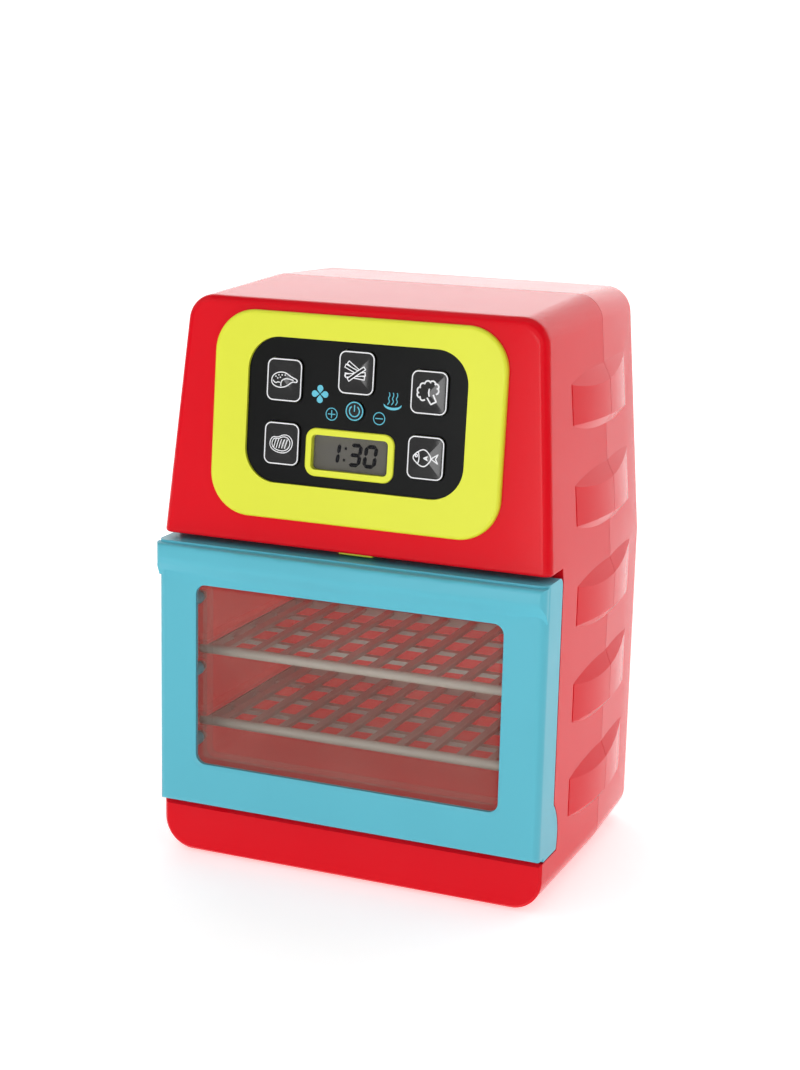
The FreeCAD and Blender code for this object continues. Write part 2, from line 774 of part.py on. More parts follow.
def oven_liner():
    """The oven tub, open to the front, with a channel for each rack and two screw feet."""
    tub = tub_block(0, TUB_BACK).cut(tub_block(TUB_WALL, TUB_BACK - TUB_WALL))
    for level in RACK_LEVELS.values():
        tub = tub.fuse(runners(level))
    for x in (-LINER_SCREW_X, LINER_SCREW_X):
        start = V(x, LINER_SCREW_Y, LINER_POST_TOP)
        drop = TUB_BOTTOM + TUB_WALL / 2 - LINER_POST_TOP
        tub = tub.fuse(boss(BOSS_RADIUS, start, UPWARD, drop))
        bite = SCREW_SHANK + SCREW_BITE
        tub = tub.cut(screw_hole(bite, start, UPWARD, TUB_BOTTOM - LINER_POST_TOP))
    return tub.removeSplitter()


def tub_rear_half():
    """Outside half-width of the tub's rear end."""
    share = (TUB_BACK - SEAM_Y) / (REAR_Y - SEAM_Y)
    return HALF_SEAM - REAR_NARROW * share - WALL - TUB_GAP


def rack_half():
    """Half-width of a rack, which slides clear of the tub's narrow end."""
    return tub_rear_half() - TUB_WALL - RACK_CLEARANCE


def tub_block(inset, back):
    """The tub's outside or inside, narrowing to the rear with the casing's draft."""
    outlines = []
    for y, half in ((RECESS_Y, tub_half() - inset), (back, tub_rear_half() - inset)):
        low = TUB_BOTTOM + inset
        high = TUB_TOP - inset
        points = [V(-half, y, low), V(half, y, low), V(half, y, high), V(-half, y, high)]
        outlines.append(rounded_wire(points, [TUB_CORNER - inset] * 4))
    return Part.makeLoft(outlines, True, True)


def runners(level):
    """A pair of ledges under and over one rack's side wires, on both walls."""
    inside = tub_half() - TUB_WALL - RUNNER_WIDTH
    front = RECESS_Y + 2 * WALL
    back = TUB_BACK - TUB_WALL / 2
    roof = level + RACK_WIRE + RUNNER_SLACK
    space = tub_block(TUB_WALL / 2, TUB_BACK)
    under = box(inside, FAR, front, back, level - RUNNER_THICK, level).common(space)
    over = box(inside, FAR, front, back, roof, roof + RUNNER_THICK).common(space)
    return [under, over, mirrored(under), mirrored(over)]


def liner_screws():
    """Two screws that pull the oven tub down onto the base posts."""
    screws = []
    for x in (-LINER_SCREW_X, LINER_SCREW_X):
        seat = V(x, LINER_SCREW_Y, LINER_POST_TOP - WALL)
        length = TUB_BOTTOM - LINER_POST_TOP
        screws.append(
            screw(seat, UPWARD, SCREW_SHANK, SCREW_HEAD, SCREW_HEAD_THICK, length)
        )
    return Part.makeCompound(screws)


def rack(level):
    """A moulded rack: round front bar, square side rails, and bars laid over cross wires."""
    bar = RACK_BAR / 2
    wire = RACK_WIRE / 2
    half = rack_half()
    side_x = half - wire
    start = V(-half, RACK_FRONT + bar, level + bar)
    pieces = [rod(bar, start, RIGHT, 2 * half)]
    y0 = RACK_FRONT + bar
    y1 = RACK_BACK - wire
    roof = level + RACK_WIRE
    for side in (-1, 1):
        middle = side * side_x
        pieces.append(box(middle - wire, middle + wire, y0, RACK_BACK, level, roof))
    pieces.append(box(-side_x, side_x, RACK_BACK - RACK_WIRE, RACK_BACK, level, roof))
    spacing = (y1 - y0) / (RACK_CROSS_COUNT + 1)
    low = level + wire
    for row in range(1, RACK_CROSS_COUNT + 1):
        y = y0 + row * spacing
        pieces.append(box(-side_x, side_x, y - wire, y + wire, level, low))
    count = int(side_x // RACK_PITCH)
    for step in range(-count, count + 1):
        x = step * RACK_PITCH
        pieces.append(box(x - wire, x + wire, y0, y1, low, roof))
    return fused(pieces)


# Door


def door_plan(front, y_back):
    """A plan-view block with rounded front corners, tall enough for the door."""
    points = [
        V(-DOOR_HALF, front, 0),
        V(DOOR_HALF, front, 0),
        V(DOOR_HALF, y_back, 0),
        V(-DOOR_HALF, y_back, 0),
    ]
    return slab(points, [DOOR_EDGE, DOOR_EDGE, 0, 0], UPWARD * FAR)


def door_back():
    """Depth of the door's rear edge."""
    return RECESS_Y - DOOR_BACK_GAP


def bow_radius():
    """Plan radius of the lip's forward bow."""
    return (DOOR_HALF ** 2 + LIP_BOW ** 2) / (2 * LIP_BOW)


def lip():
    """The grip lip: a rounded nose turned about a far upright axis, so that it bows forward."""
    top = DOOR_TOP
    drop = top - LIP_ROOT
    nose = [
        (DOOR_FIELD_Y + DOOR_WALL, LIP_ROOT - LIP_SINK),
        (DOOR_FIELD_Y, LIP_ROOT - LIP_SINK),
        (DOOR_FIELD_Y, LIP_ROOT),
        (DOOR_FIELD_Y - LIP_SWELL, LIP_ROOT + LIP_SWELL_SHARE * drop),
        (LIP_FRONT, LIP_ROOT + LIP_NOSE_SHARE * drop),
        (LIP_FRONT + LIP_BACKSET, top - LIP_SINK),
        (DOOR_FIELD_Y + LIP_CROWN / 2, top),
        (DOOR_FIELD_Y + LIP_CROWN, top),
        (DOOR_FIELD_Y + LIP_CROWN, LIP_ROOT - LIP_SINK),
    ]
    radii = [0, 0, *LIP_ROUNDS, 0, 0]
    radius = bow_radius()
    sweep = math.degrees(2 * math.asin((DOOR_HALF + DOOR_EDGE) / radius))
    wire = rounded_wire([V(0, y, z) for y, z in nose], radii)
    face = Part.Face(wire)
    centre = V(0, LIP_FRONT + radius, 0)
    face.rotate(centre, UPWARD, -sweep / 2)
    return face.revolve(centre, UPWARD, sweep)


def lip_corners():
    """What is cut off the two ends of the lip to round them in plan."""
    start = DOOR_HALF - DOOR_EDGE
    front = LIP_FRONT + start ** 2 / (2 * bow_radius())
    centre = V(start, front + DOOR_EDGE, 0)
    disc = rod(DOOR_EDGE, centre, UPWARD, FAR)
    right = box(start, FAR, -FAR, centre.y, 0, FAR).cut(disc)
    return right.fuse(mirrored(right))


def door_outer():
    """The door's outside: flat field, bowed lip, round heels at the lower rear corners."""
    back = door_back()
    block = side_slab(
        [(DOOR_FIELD_Y, DOOR_BOTTOM), (back, DOOR_BOTTOM), (back, DOOR_TOP), (DOOR_FIELD_Y, DOOR_TOP)],
        [DOOR_WALL, 0, DOOR_EDGE, 0],
        DOOR_HALF,
    )
    field = block.common(door_plan(DOOR_FIELD_Y, FAR))
    reach = DOOR_FIELD_Y + DOOR_WALL / 2
    nose = lip().common(box(-DOOR_HALF, DOOR_HALF, -FAR, reach, -FAR, FAR))
    return field.fuse(nose.cut(lip_corners()))


def heels():
    """The round lower rear corners of the door's two side walls."""
    inner = DOOR_HALF - DOOR_WALL
    disc = rod(HEEL_RADIUS, V(inner, HINGE_Y, HINGE_Z), RIGHT, DOOR_WALL)
    keep = box(inner, DOOR_HALF, HINGE_Y + 2, FAR, HEEL_BOTTOM, FAR)
    right = disc.common(keep)
    return [right, mirrored(right)]


def door_frame():
    """The door: a hollow moulding open at the back, with window hole, bosses and hinge cheeks."""
    back = door_back()
    inner_half = DOOR_HALF - DOOR_WALL
    front = DOOR_FIELD_Y + DOOR_WALL
    low = DOOR_BOTTOM + DOOR_WALL
    high = DOOR_TOP - DOOR_WALL
    hollow = front_plate(inner_half, low, high, DOOR_EDGE, front, back + DOOR_WALL)
    frame = door_outer().cut(hollow).cut(floor_trim())
    frame = frame.fuse(heels())
    frame = frame.fuse(door_bosses())
    opening = front_plate(
        WINDOW_HALF, WINDOW_BOTTOM, WINDOW_TOP, WINDOW_CORNER, LIP_FRONT - 1, front + 1
    )
    frame = frame.cut(opening).cut(window_bevel())
    for x in (-HINGE_X, HINGE_X):
        frame = frame.fuse(hinge_cheeks(x))
        frame = frame.cut(arm_slot(x))
        frame = frame.cut(cheek_bore(x))
    for x, z in window_screw_places():
        bite = screw_hole(SMALL_SHANK + SCREW_BITE, V(x, front, z), BACKWARD, FAR)
        frame = frame.cut(bite)
    return frame.removeSplitter()


def window_bevel():
    """The shallow dished border that leads down to the window opening."""
    outlines = []
    for depth, grow in ((0, WINDOW_BEVEL), (WINDOW_BEVEL_DEPTH, 0)):
        y = DOOR_FIELD_Y + depth
        half = WINDOW_HALF + grow
        low = WINDOW_BOTTOM - grow
        high = WINDOW_TOP + grow
        corners = [V(-half, y, low), V(half, y, low), V(half, y, high), V(-half, y, high)]
        outlines.append(rounded_wire(corners, [WINDOW_CORNER + grow] * 4))
    return Part.makeLoft(outlines, True, True)


def floor_trim():
    """What is cut off the floor's rear edge so that it swings clear of the recess face."""
    swing = RECESS_Y - HINGE_Y - DOOR_BACK_GAP
    reach = math.sqrt(swing ** 2 - (HINGE_Z - DOOR_BOTTOM) ** 2)
    inner = DOOR_HALF - DOOR_WALL
    return box(-inner, inner, HINGE_Y + reach, FAR, 0, DOOR_BOTTOM + DOOR_WALL)


def window_screw_places():
    """Front-view places of the screws that hold the window tray."""
    x = WINDOW_HALF + FLANGE / 2
    low = WINDOW_BOTTOM + FLANGE
    high = WINDOW_TOP - FLANGE
    rows = [low, (low + high) / 2, high]
    return [(side * x, z) for z in rows for side in (-1, 1)]


def flange_front():
    """Depth of the window flange's front face, where the door's bosses end."""
    return TRAY_BACK - PANE_WALL


def door_bosses():
    """Round bosses behind the field that the window tray is screwed to."""
    front = DOOR_FIELD_Y + DOOR_WALL / 2
    length = flange_front() - front
    return [boss(SMALL_BOSS, V(x, front, z), BACKWARD, length) for x, z in window_screw_places()]


def cheek_starts(x):
    """Left faces of the two cheeks beside one hinge arm."""
    reach = ARM_WIDTH / 2 + CHEEK_GAP
    return [x - reach - CHEEK, x + reach]


def hinge_cheeks(x):
    """Two rounded plates on the door's floor that hold a hinge pin."""
    cheeks = []
    radius = ARM_THICK / 2 + CHEEK_RIM
    front = DOOR_FIELD_Y + DOOR_WALL / 2
    low = DOOR_BOTTOM + DOOR_WALL / 2
    for start in cheek_starts(x):
        disc = rod(radius, V(start, HINGE_Y, HINGE_Z), RIGHT, CHEEK)
        web = box(start, start + CHEEK, front, HINGE_Y, low, HINGE_Z + radius)
        foot_block = box(start, start + CHEEK, HINGE_Y, HINGE_Y + radius, low, HINGE_Z)
        cheeks.extend([disc.common(box(-FAR, FAR, -FAR, FAR, low, FAR)), web, foot_block])
    return cheeks


def arm_slot(x):
    """The slot through the door's floor that lets the hinge arm swing."""
    half = ARM_WIDTH / 2 + CHEEK_GAP
    sweep = ARM_THICK / 2 + CHEEK_GAP
    front = HINGE_Y - sweep
    return box(x - half, x + half, front, FAR, 0, HINGE_Z + sweep)


def cheek_bore(x):
    """The pin's seat through both cheeks."""
    start = cheek_starts(x)[0]
    length = ARM_WIDTH + 2 * (CHEEK_GAP + CHEEK)
    return rod(PIN_RADIUS + PIN_SEAT, V(start, HINGE_Y, HINGE_Z), RIGHT, length)


def hinge_pin(x):
    """A steel pin pressed through the door's cheeks and turning in the arm."""
    start = cheek_starts(x)[0]
    length = ARM_WIDTH + 2 * (CHEEK_GAP + CHEEK)
    return rod(PIN_RADIUS, V(start, HINGE_Y, HINGE_Z), RIGHT, length)


def door_window():
    """The smoked window: a shallow tray whose pane fills the opening, with a screwed flange."""
    front = DOOR_FIELD_Y + PANE_RECESS
    half = WINDOW_HALF - PANE_GAP
    low = WINDOW_BOTTOM + PANE_GAP
    high = WINDOW_TOP - PANE_GAP
    corner = WINDOW_CORNER - PANE_GAP
    body = front_plate(half, low, high, corner, front, TRAY_BACK)
    flange = front_plate(
        WINDOW_HALF + FLANGE,
        WINDOW_BOTTOM - FLANGE / 2,
        WINDOW_TOP + FLANGE / 2,
        WINDOW_CORNER,
        flange_front(),
        TRAY_BACK,
    )
    hollow = front_plate(
        half - PANE_WALL,
        low + PANE_WALL,
        high - PANE_WALL,
        corner - PANE_WALL,
        front + PANE_WALL,
        TRAY_BACK + 1,
    )
    tray = body.fuse(flange).cut(hollow)
    for x, z in window_screw_places():
        clear = SMALL_SHANK + SCREW_CLEAR
        start = V(x, flange_front() - 1, z)
        tray = tray.cut(screw_hole(clear, start, BACKWARD, 2 * PANE_WALL))
    return tray.removeSplitter()


def window_screws():
    """Screws through the window flange into the door's bosses."""
    length = TRAY_BACK - DOOR_FIELD_Y - DOOR_WALL - PANE_WALL / 2
    screws = [
        screw(V(x, TRAY_BACK, z), -BACKWARD, SMALL_SHANK, SMALL_HEAD, SMALL_HEAD_THICK, length)
        for x, z in window_screw_places()
    ]
    return Part.makeCompound(screws)


def door_catch():
    """The lime catch under the head, held by a stem through the head's floor."""
    x0 = CATCH_X - CATCH_WIDTH / 2
    x1 = CATCH_X + CATCH_WIDTH / 2
    y0 = DEPTH_FRONT + CATCH_SETBACK
    y1 = RECESS_Y - DOOR_BACK_GAP
    plate = box(x0, x1, y0, y1, HEAD_Z - CATCH_THICK, HEAD_Z)
    plate = plate.makeFillet(CATCH_THICK / 3, edges_on(plate, lambda p: abs(p.y - y0) < NEAR))
    stem_low = RECESS_Y - 3 * WALL
    stem = box(
        CATCH_X - CATCH_STEM / 2,
        CATCH_X + CATCH_STEM / 2,
        stem_low,
        stem_low + WALL,
        HEAD_Z - CATCH_THICK / 2,
        HEAD_Z + 3 * WALL,
    )
    barb_low = HEAD_Z + WALL + PLATE_FIT
    barb = box(
        CATCH_X - CATCH_STEM / 2,
        CATCH_X + CATCH_STEM / 2,
        stem_low + WALL / 2,
        stem_low + 2 * WALL,
        barb_low,
        HEAD_Z + 3 * WALL,
    )
    return fused([plate, stem, barb])


# Control panel, in its own frame: X across, Y up the face, Z out of it


def panel_floor_low():
    """Level of the bezel floor's hidden side."""
    return FLOOR_TOP - FLOOR_THICK


def control_bezel():
    """The lime bezel: raised rim, sunk floor with key holes, display frame, snaps and bosses."""
    centre = (0.0, BEZEL_LOW + BEZEL_HEIGHT / 2)
    rim = rounded_plate(BEZEL_WIDTH, BEZEL_HEIGHT, BEZEL_CORNER, 0.0, BEZEL_PROUD, centre)
    top = edges_on(rim, lambda p: abs(p.z - BEZEL_PROUD) < NEAR)
    rim = rim.makeFillet(BEZEL_EDGE, top)
    inset = 2 * (BEZEL_FLANGE + BEZEL_FIT)
    low = panel_floor_low()
    skirt = rounded_plate(
        BEZEL_WIDTH - inset, BEZEL_HEIGHT - inset, BEZEL_CORNER - inset / 2, low, -low, centre
    )
    bezel = rim.fuse(skirt)
    plate_centre = (0.0, PLATE_LOW + PLATE_HEIGHT / 2)
    pocket = rounded_plate(
        PLATE_WIDTH, PLATE_HEIGHT, PLATE_CORNER, FLOOR_TOP, BEZEL_PROUD, plate_centre
    )
    bezel = bezel.cut(pocket)
    bezel = bezel.fuse(display_rim())
    bezel = bezel.fuse(snaps()).fuse(board_bosses())
    for width, height, corner, place in key_holes(KEY_FIT):
        bezel = bezel.cut(rounded_plate(width, height, corner, low - 1, 2 * BEZEL_PROUD, place))
    bezel = bezel.cut(
        rounded_plate(DISPLAY_WIDTH, DISPLAY_HEIGHT, DISPLAY_CORNER, low - 1, 9, DISPLAY_PLACE)
    )
    for x, y in board_screw_places():
        bite = SMALL_SHANK + SCREW_BITE
        bezel = bezel.cut(screw_hole(bite, V(x, y, board_top()), UPWARD, BOARD_DROP))
    return on_head(bezel.removeSplitter())


def key_holes(gap):
    """Width, height, corner and place of every key's hole, with a gap all round."""
    holes = [
        (KEY_WIDTH + 2 * gap, KEY_HEIGHT + 2 * gap, KEY_CORNER + gap, place)
        for place in KEY_PLACES.values()
    ]
    round_size = 2 * (POWER_RADIUS + gap)
    holes.append((round_size, round_size, round_size / 2 - NEAR, POWER_PLACE))
    return holes


def display_rim():
    """The raised frame round the display."""
    width = DISPLAY_WIDTH + 2 * DISPLAY_RIM
    height = DISPLAY_HEIGHT + 2 * DISPLAY_RIM
    corner = DISPLAY_CORNER + DISPLAY_RIM
    thick = PLATE_THICK + DISPLAY_RIM_PROUD
    rim = rounded_plate(width, height, corner, FLOOR_TOP, thick, DISPLAY_PLACE)
    top = edges_on(rim, lambda p: abs(p.z - FLOOR_TOP - thick) < NEAR)
    return rim.makeChamfer(DISPLAY_RIM_PROUD / 2, top)


def snaps():
    """Hooks behind the skirt that grip the head wall from inside."""
    hooks = []
    edge = BEZEL_WIDTH / 2 - BEZEL_FLANGE - BEZEL_FIT
    lip_reach = BEZEL_FIT + SNAP_GRIP
    middle = BEZEL_LOW + BEZEL_HEIGHT / 2
    low = -WALL - SNAP_REACH
    for side in (-1, 1):
        for offset in (-SNAP_SPREAD, SNAP_SPREAD):
            y = middle + offset - SNAP_WIDTH / 2
            inner = side * (edge - SNAP_THICK)
            outer = side * edge
            hook_end = side * (edge + lip_reach)
            start = V(min(inner, outer), y, low)
            hooks.append(Part.makeBox(SNAP_THICK, SNAP_WIDTH, -low, start))
            start = V(min(inner, hook_end), y, low)
            hooks.append(Part.makeBox(abs(hook_end - inner), SNAP_WIDTH, SNAP_THICK, start))
    return hooks


def board_top():
    """Level of the circuit board's front face."""
    return panel_floor_low() - BOARD_DROP


def board_screw_places():
    """Places of the four screws that hold the circuit board, in the panel's frame."""
    x = BOARD_HALF - BOARD_INSET
    rows = (BOARD_LOW + BOARD_INSET, BOARD_HIGH - BOARD_INSET)
    return [(side * x, y) for side in (-1, 1) for y in rows]


def board_bosses():
    """Bosses behind the bezel floor that the circuit board is screwed to."""
    return [
        boss(SMALL_BOSS, V(x, y, board_top()), UPWARD, BOARD_DROP + FLOOR_THICK / 2)
        for x, y in board_screw_places()
    ]


def panel_plate():
    """The black face plate with holes for the keys and the display frame."""
    centre = (0.0, PLATE_LOW + PLATE_HEIGHT / 2)
    shrink = 2 * PLATE_FIT
    plate = rounded_plate(
        PLATE_WIDTH - shrink,
        PLATE_HEIGHT - shrink,
        PLATE_CORNER - PLATE_FIT,
        FLOOR_TOP,
        PLATE_THICK,
        centre,
    )
    for width, height, corner, place in key_holes(KEY_FIT):
        plate = plate.cut(rounded_plate(width, height, corner, FLOOR_TOP - 1, 5, place))
    grow = 2 * (DISPLAY_RIM + PLATE_FIT)
    hole = rounded_plate(
        DISPLAY_WIDTH + grow,
        DISPLAY_HEIGHT + grow,
        DISPLAY_CORNER + grow / 2,
        FLOOR_TOP - 1,
        5,
        DISPLAY_PLACE,
    )
    return on_head(plate.cut(hole))


def food_key(place):
    """A square key with a faceted crown and a hidden flange that keeps it in."""
    face = FLOOR_TOP + PLATE_THICK + KEY_PROUD
    flange_top = panel_floor_low() - PLATE_FIT
    flange_low = flange_top - KEY_FLANGE_THICK
    stem = rounded_plate(
        KEY_WIDTH, KEY_HEIGHT, KEY_CORNER, flange_low, face - flange_low, place
    )
    flange = rounded_plate(
        KEY_WIDTH + 2 * KEY_FLANGE,
        KEY_HEIGHT + 2 * KEY_FLANGE,
        KEY_CORNER,
        flange_low,
        KEY_FLANGE_THICK,
        place,
    )
    return on_head(fused([stem, crown(place, face), flange]))


def crown(place, face):
    """The key's shallow four-sided point."""
    x, y = place
    wide = KEY_WIDTH / 2 - CROWN_INSET
    tall = KEY_HEIGHT / 2 - CROWN_INSET
    base = [V(x - wide, y - tall, face), V(x + wide, y - tall, face)]
    base += [V(x + wide, y + tall, face), V(x - wide, y + tall, face)]
    peak = V(x, y, face + KEY_PEAK)
    faces = [Part.Face(Part.makePolygon(base + [base[0]]))]
    for index in range(4):
        corner = base[index]
        following = base[(index + 1) % 4]
        faces.append(Part.Face(Part.makePolygon([corner, following, peak, corner])))
    return Part.Solid(Part.Shell(faces))


def power_button():
    """The round power button with a hidden flange."""
    face = FLOOR_TOP + PLATE_THICK + KEY_PROUD
    flange_top = panel_floor_low() - PLATE_FIT
    flange_low = flange_top - KEY_FLANGE_THICK
    x, y = POWER_PLACE
    stem = rod(POWER_RADIUS, V(x, y, flange_low), UPWARD, face - flange_low)
    stem = stem.makeChamfer(KEY_PROUD / 3, edges_on(stem, lambda p: abs(p.z - face) < NEAR))
    flange = rod(POWER_RADIUS + KEY_FLANGE, V(x, y, flange_low), UPWARD, KEY_FLANGE_THICK)
    return on_head(fused([stem, flange]))


def display_lens():
    """The clear cover of the display, set inside its frame."""
    low = panel_floor_low()
    high = FLOOR_TOP + PLATE_THICK
    shrink = 2 * PLATE_FIT
    lens = rounded_plate(
        DISPLAY_WIDTH - shrink,
        DISPLAY_HEIGHT - shrink,
        DISPLAY_CORNER - PLATE_FIT,
        low + PLATE_THICK,
        high - low - PLATE_THICK,
        DISPLAY_PLACE,
    )
    return on_head(lens)


def display_module():
    """The liquid crystal display and its holder, from the lens down to the circuit board."""
    low = board_top()
    body = rounded_plate(
        DISPLAY_WIDTH + 2 * MODULE_MARGIN,
        DISPLAY_HEIGHT + 2 * MODULE_MARGIN,
        SMALL_CORNER,
        low,
        BOARD_DROP,
        DISPLAY_PLACE,
    )
    glass = rounded_plate(
        DISPLAY_WIDTH - 2 * PLATE_FIT,
        DISPLAY_HEIGHT - 2 * PLATE_FIT,
        DISPLAY_CORNER - PLATE_FIT,
        panel_floor_low(),
        PLATE_THICK,
        DISPLAY_PLACE,
    )
    return on_head(fused([body, glass]))


def main_board():
    """The circuit board behind the keys, with its covered chip."""
    centre = (0.0, (BOARD_LOW + BOARD_HIGH) / 2)
    top = board_top()
    board = rounded_plate(
        2 * BOARD_HALF,
        BOARD_HIGH - BOARD_LOW,
        BOARD_CORNER,
        top - BOARD_THICK,
        BOARD_THICK,
        centre,
    )
    chip = boss(CHIP_RADIUS, V(0, centre[1], top - BOARD_THICK - CHIP_THICK), UPWARD, CHIP_THICK)
    board = board.fuse(chip)
    for x, y in board_screw_places():
        clear = SMALL_SHANK + SCREW_CLEAR
        start = V(x, y, top - 2 * BOARD_THICK)
        board = board.cut(screw_hole(clear, start, UPWARD, 3 * BOARD_THICK))
    return on_head(board)


def board_screws():
    """Four screws from behind the circuit board into the bezel."""
    seat = board_top() - BOARD_THICK
    length = BOARD_THICK + BOARD_DROP - PLATE_FIT
    screws = [
        screw(V(x, y, seat), UPWARD, SMALL_SHANK, SMALL_HEAD, SMALL_HEAD_THICK, length)
        for x, y in board_screw_places()
    ]
    return on_head(Part.makeCompound(screws))


def keypad_mat():
    """The rubber mat on the circuit board, with a dome under every key."""
    top = board_top()
    half_width = KEY_PLACES["greens_key"][0] + KEY_WIDTH / 2 + KEY_FLANGE
    low = KEY_PLACES["fish_key"][1] - KEY_HEIGHT / 2
    high = KEY_PLACES["sticks_key"][1] + KEY_HEIGHT / 2
    mat = rounded_plate(
        2 * half_width, high - low, BOARD_CORNER, top, PAD_THICK, (0.0, (low + high) / 2)
    )
    grow = 2 * (MODULE_MARGIN + PLATE_FIT)
    corner = SMALL_CORNER + PLATE_FIT
    hole = rounded_plate(
        DISPLAY_WIDTH + grow, DISPLAY_HEIGHT + grow, corner, top - 1, FAR, DISPLAY_PLACE
    )
    mat = mat.cut(hole)
    flange_low = panel_floor_low() - PLATE_FIT - KEY_FLANGE_THICK
    dome_top = flange_low - KEY_TRAVEL - DOME_GAP
    for x, y in [*KEY_PLACES.values(), POWER_PLACE]:
        mat = mat.fuse(boss(DOME_RADIUS, V(x, y, top), UPWARD, dome_top - top))
    return on_head(mat.removeSplitter())


# Rear fittings


def well_half_width():
    """Half of the battery well's inner width."""
    return (BATTERY_LENGTH + BATTERY_CAP) / 2 + CONTACT_ROOM


def well_half_height():
    """Half of the battery well's inner height."""
    return BATTERY_PITCH * BATTERY_COUNT / 2


def well_front():
    """Depth of the battery well's inner floor."""
    return REAR_Y - COVER_THICK - 2 * (BATTERY_RADIUS + BATTERY_ROOM)


def well_block():
    """The outside of the battery well, as a block inside the rear wall."""
    half_width = well_half_width()
    half_height = well_half_height()
    front = well_front() - WELL_WALL
    block = box(
        WELL_X - half_width - COVER_LIP,
        WELL_X + half_width + COVER_LIP,
        front,
        REAR_Y,
        WELL_Z - half_height - COVER_LIP,
        WELL_Z + half_height + COVER_LIP,
    )
    x, z = cover_screw_place()
    start = V(x, REAR_Y - COVER_BOSS_DEPTH, z)
    return block.fuse(rod(COVER_LUG + WELL_WALL, start, BACKWARD, COVER_BOSS_DEPTH))


def well_hollow():
    """The battery well's space and the step that its cover sits in."""
    half_width = well_half_width()
    half_height = well_half_height()
    hollow = box(
        WELL_X - half_width,
        WELL_X + half_width,
        well_front(),
        FAR,
        WELL_Z - half_height,
        WELL_Z + half_height,
    )
    x, z = cover_screw_place()
    start = V(x, REAR_Y - COVER_THICK - COVER_SCREW_LENGTH, z)
    bore = screw_hole(SMALL_SHANK + COVER_SCREW_ROOM, start, BACKWARD, FAR)
    return hollow.fuse([cover_plate(COVER_LIP / 2, FAR), bore])


def cover_plate(reach, outer_y):
    """The battery cover's outline with its screw lug, from its seat out to a depth."""
    half_width = well_half_width()
    half_height = well_half_height()
    plate = front_plate(
        half_width + reach,
        WELL_Z - half_height - reach,
        WELL_Z + half_height + reach,
        COVER_CORNER,
        REAR_Y - COVER_THICK,
        outer_y,
        WELL_X,
    )
    x, z = cover_screw_place()
    radius = COVER_LUG + reach - COVER_LIP / 2
    start = V(x, REAR_Y - COVER_THICK, z)
    return plate.fuse(rod(radius, start, BACKWARD, outer_y - start.y))


def battery_cover():
    """The cover plate over the battery well, with three grip grooves and a screw lug."""
    half_height = well_half_height()
    cover = cover_plate(COVER_LIP / 2 - COVER_GAP, REAR_Y)
    for step in range(GROOVE_COUNT):
        z = WELL_Z - half_height + 2 * GROOVE_PITCH + GROOVE_PITCH * step
        left = WELL_X - GROOVE_HALF
        right = WELL_X + GROOVE_HALF
        groove = box(left, right, REAR_Y - GROOVE_DEPTH, FAR, z, z + GROOVE_WIDTH)
        cover = cover.cut(groove)
    x, z = cover_screw_place()
    through = V(x, REAR_Y - 2 * COVER_THICK, z)
    seat = V(x, REAR_Y - SMALL_HEAD_THICK, z)
    cover = cover.cut(screw_hole(SMALL_SHANK + SCREW_CLEAR, through, BACKWARD, FAR))
    wide = SMALL_HEAD + SCREW_CLEAR
    return cover.cut(drum_hole(wide, seat, BACKWARD, FAR, SCREW_FLATS_COUNT))


def cover_screw_place():
    """Front-view place of the battery cover's screw, in the lug above the well."""
    half_height = well_half_height()
    return WELL_X, WELL_Z + half_height + COVER_LIP / 2 + COVER_LUG / 2


def cover_screw():
    """The screw that holds the battery cover, sunk into its lug."""
    x, z = cover_screw_place()
    seat = V(x, REAR_Y - SMALL_HEAD_THICK, z)
    return screw(
        seat, -BACKWARD, SMALL_SHANK, SMALL_HEAD, SMALL_HEAD_THICK, COVER_SCREW_LENGTH
    )


def battery(index):
    """One round cell lying across the well, each turned the other way from its neighbour."""
    half_height = well_half_height()
    z = WELL_Z - half_height + BATTERY_PITCH * (index + 0.5)
    y = REAR_Y - COVER_THICK - BATTERY_ROOM - BATTERY_RADIUS
    left = WELL_X - (BATTERY_LENGTH + BATTERY_CAP) / 2
    body = drum(BATTERY_RADIUS, V(left, y, z), RIGHT, BATTERY_LENGTH, CELL_FLATS_COUNT)
    nub = V(left + BATTERY_LENGTH, y, z)
    cap = drum(BATTERY_CAP_RADIUS, nub, RIGHT, BATTERY_CAP, SCREW_FLATS_COUNT)
    cell = body.fuse(cap)
    if index % 2:
        cell.rotate(V(WELL_X, y, z), BACKWARD, 180)
    return cell


def battery_contacts():
    """Contact plates at both ends of the well, with a coil seat against each flat end."""
    half_width = well_half_width()
    half_height = well_half_height()
    y = REAR_Y - COVER_THICK - BATTERY_ROOM - BATTERY_RADIUS
    end = (BATTERY_LENGTH + BATTERY_CAP) / 2
    pieces = []
    for index in range(BATTERY_COUNT):
        z = WELL_Z - half_height + BATTERY_PITCH * (index + 0.5)
        for side in (-1, 1):
            wall_x = WELL_X + side * half_width
            inner_x = wall_x - side * CONTACT_THICK
            plate = box(
                min(wall_x, inner_x),
                max(wall_x, inner_x),
                y - CONTACT_HALF,
                y + CONTACT_HALF,
                z - CONTACT_HALF,
                z + CONTACT_HALF,
            )
            flat_end = (side == -1) != (index % 2 == 1)
            radius = COIL_RADIUS if flat_end else BUTTON_RADIUS
            reach = half_width - end - CONTACT_THICK
            start = V(WELL_X + side * end, y, z)
            pieces.append(plate.fuse(boss(radius, start, RIGHT * side, reach)))
    return Part.makeCompound(pieces)


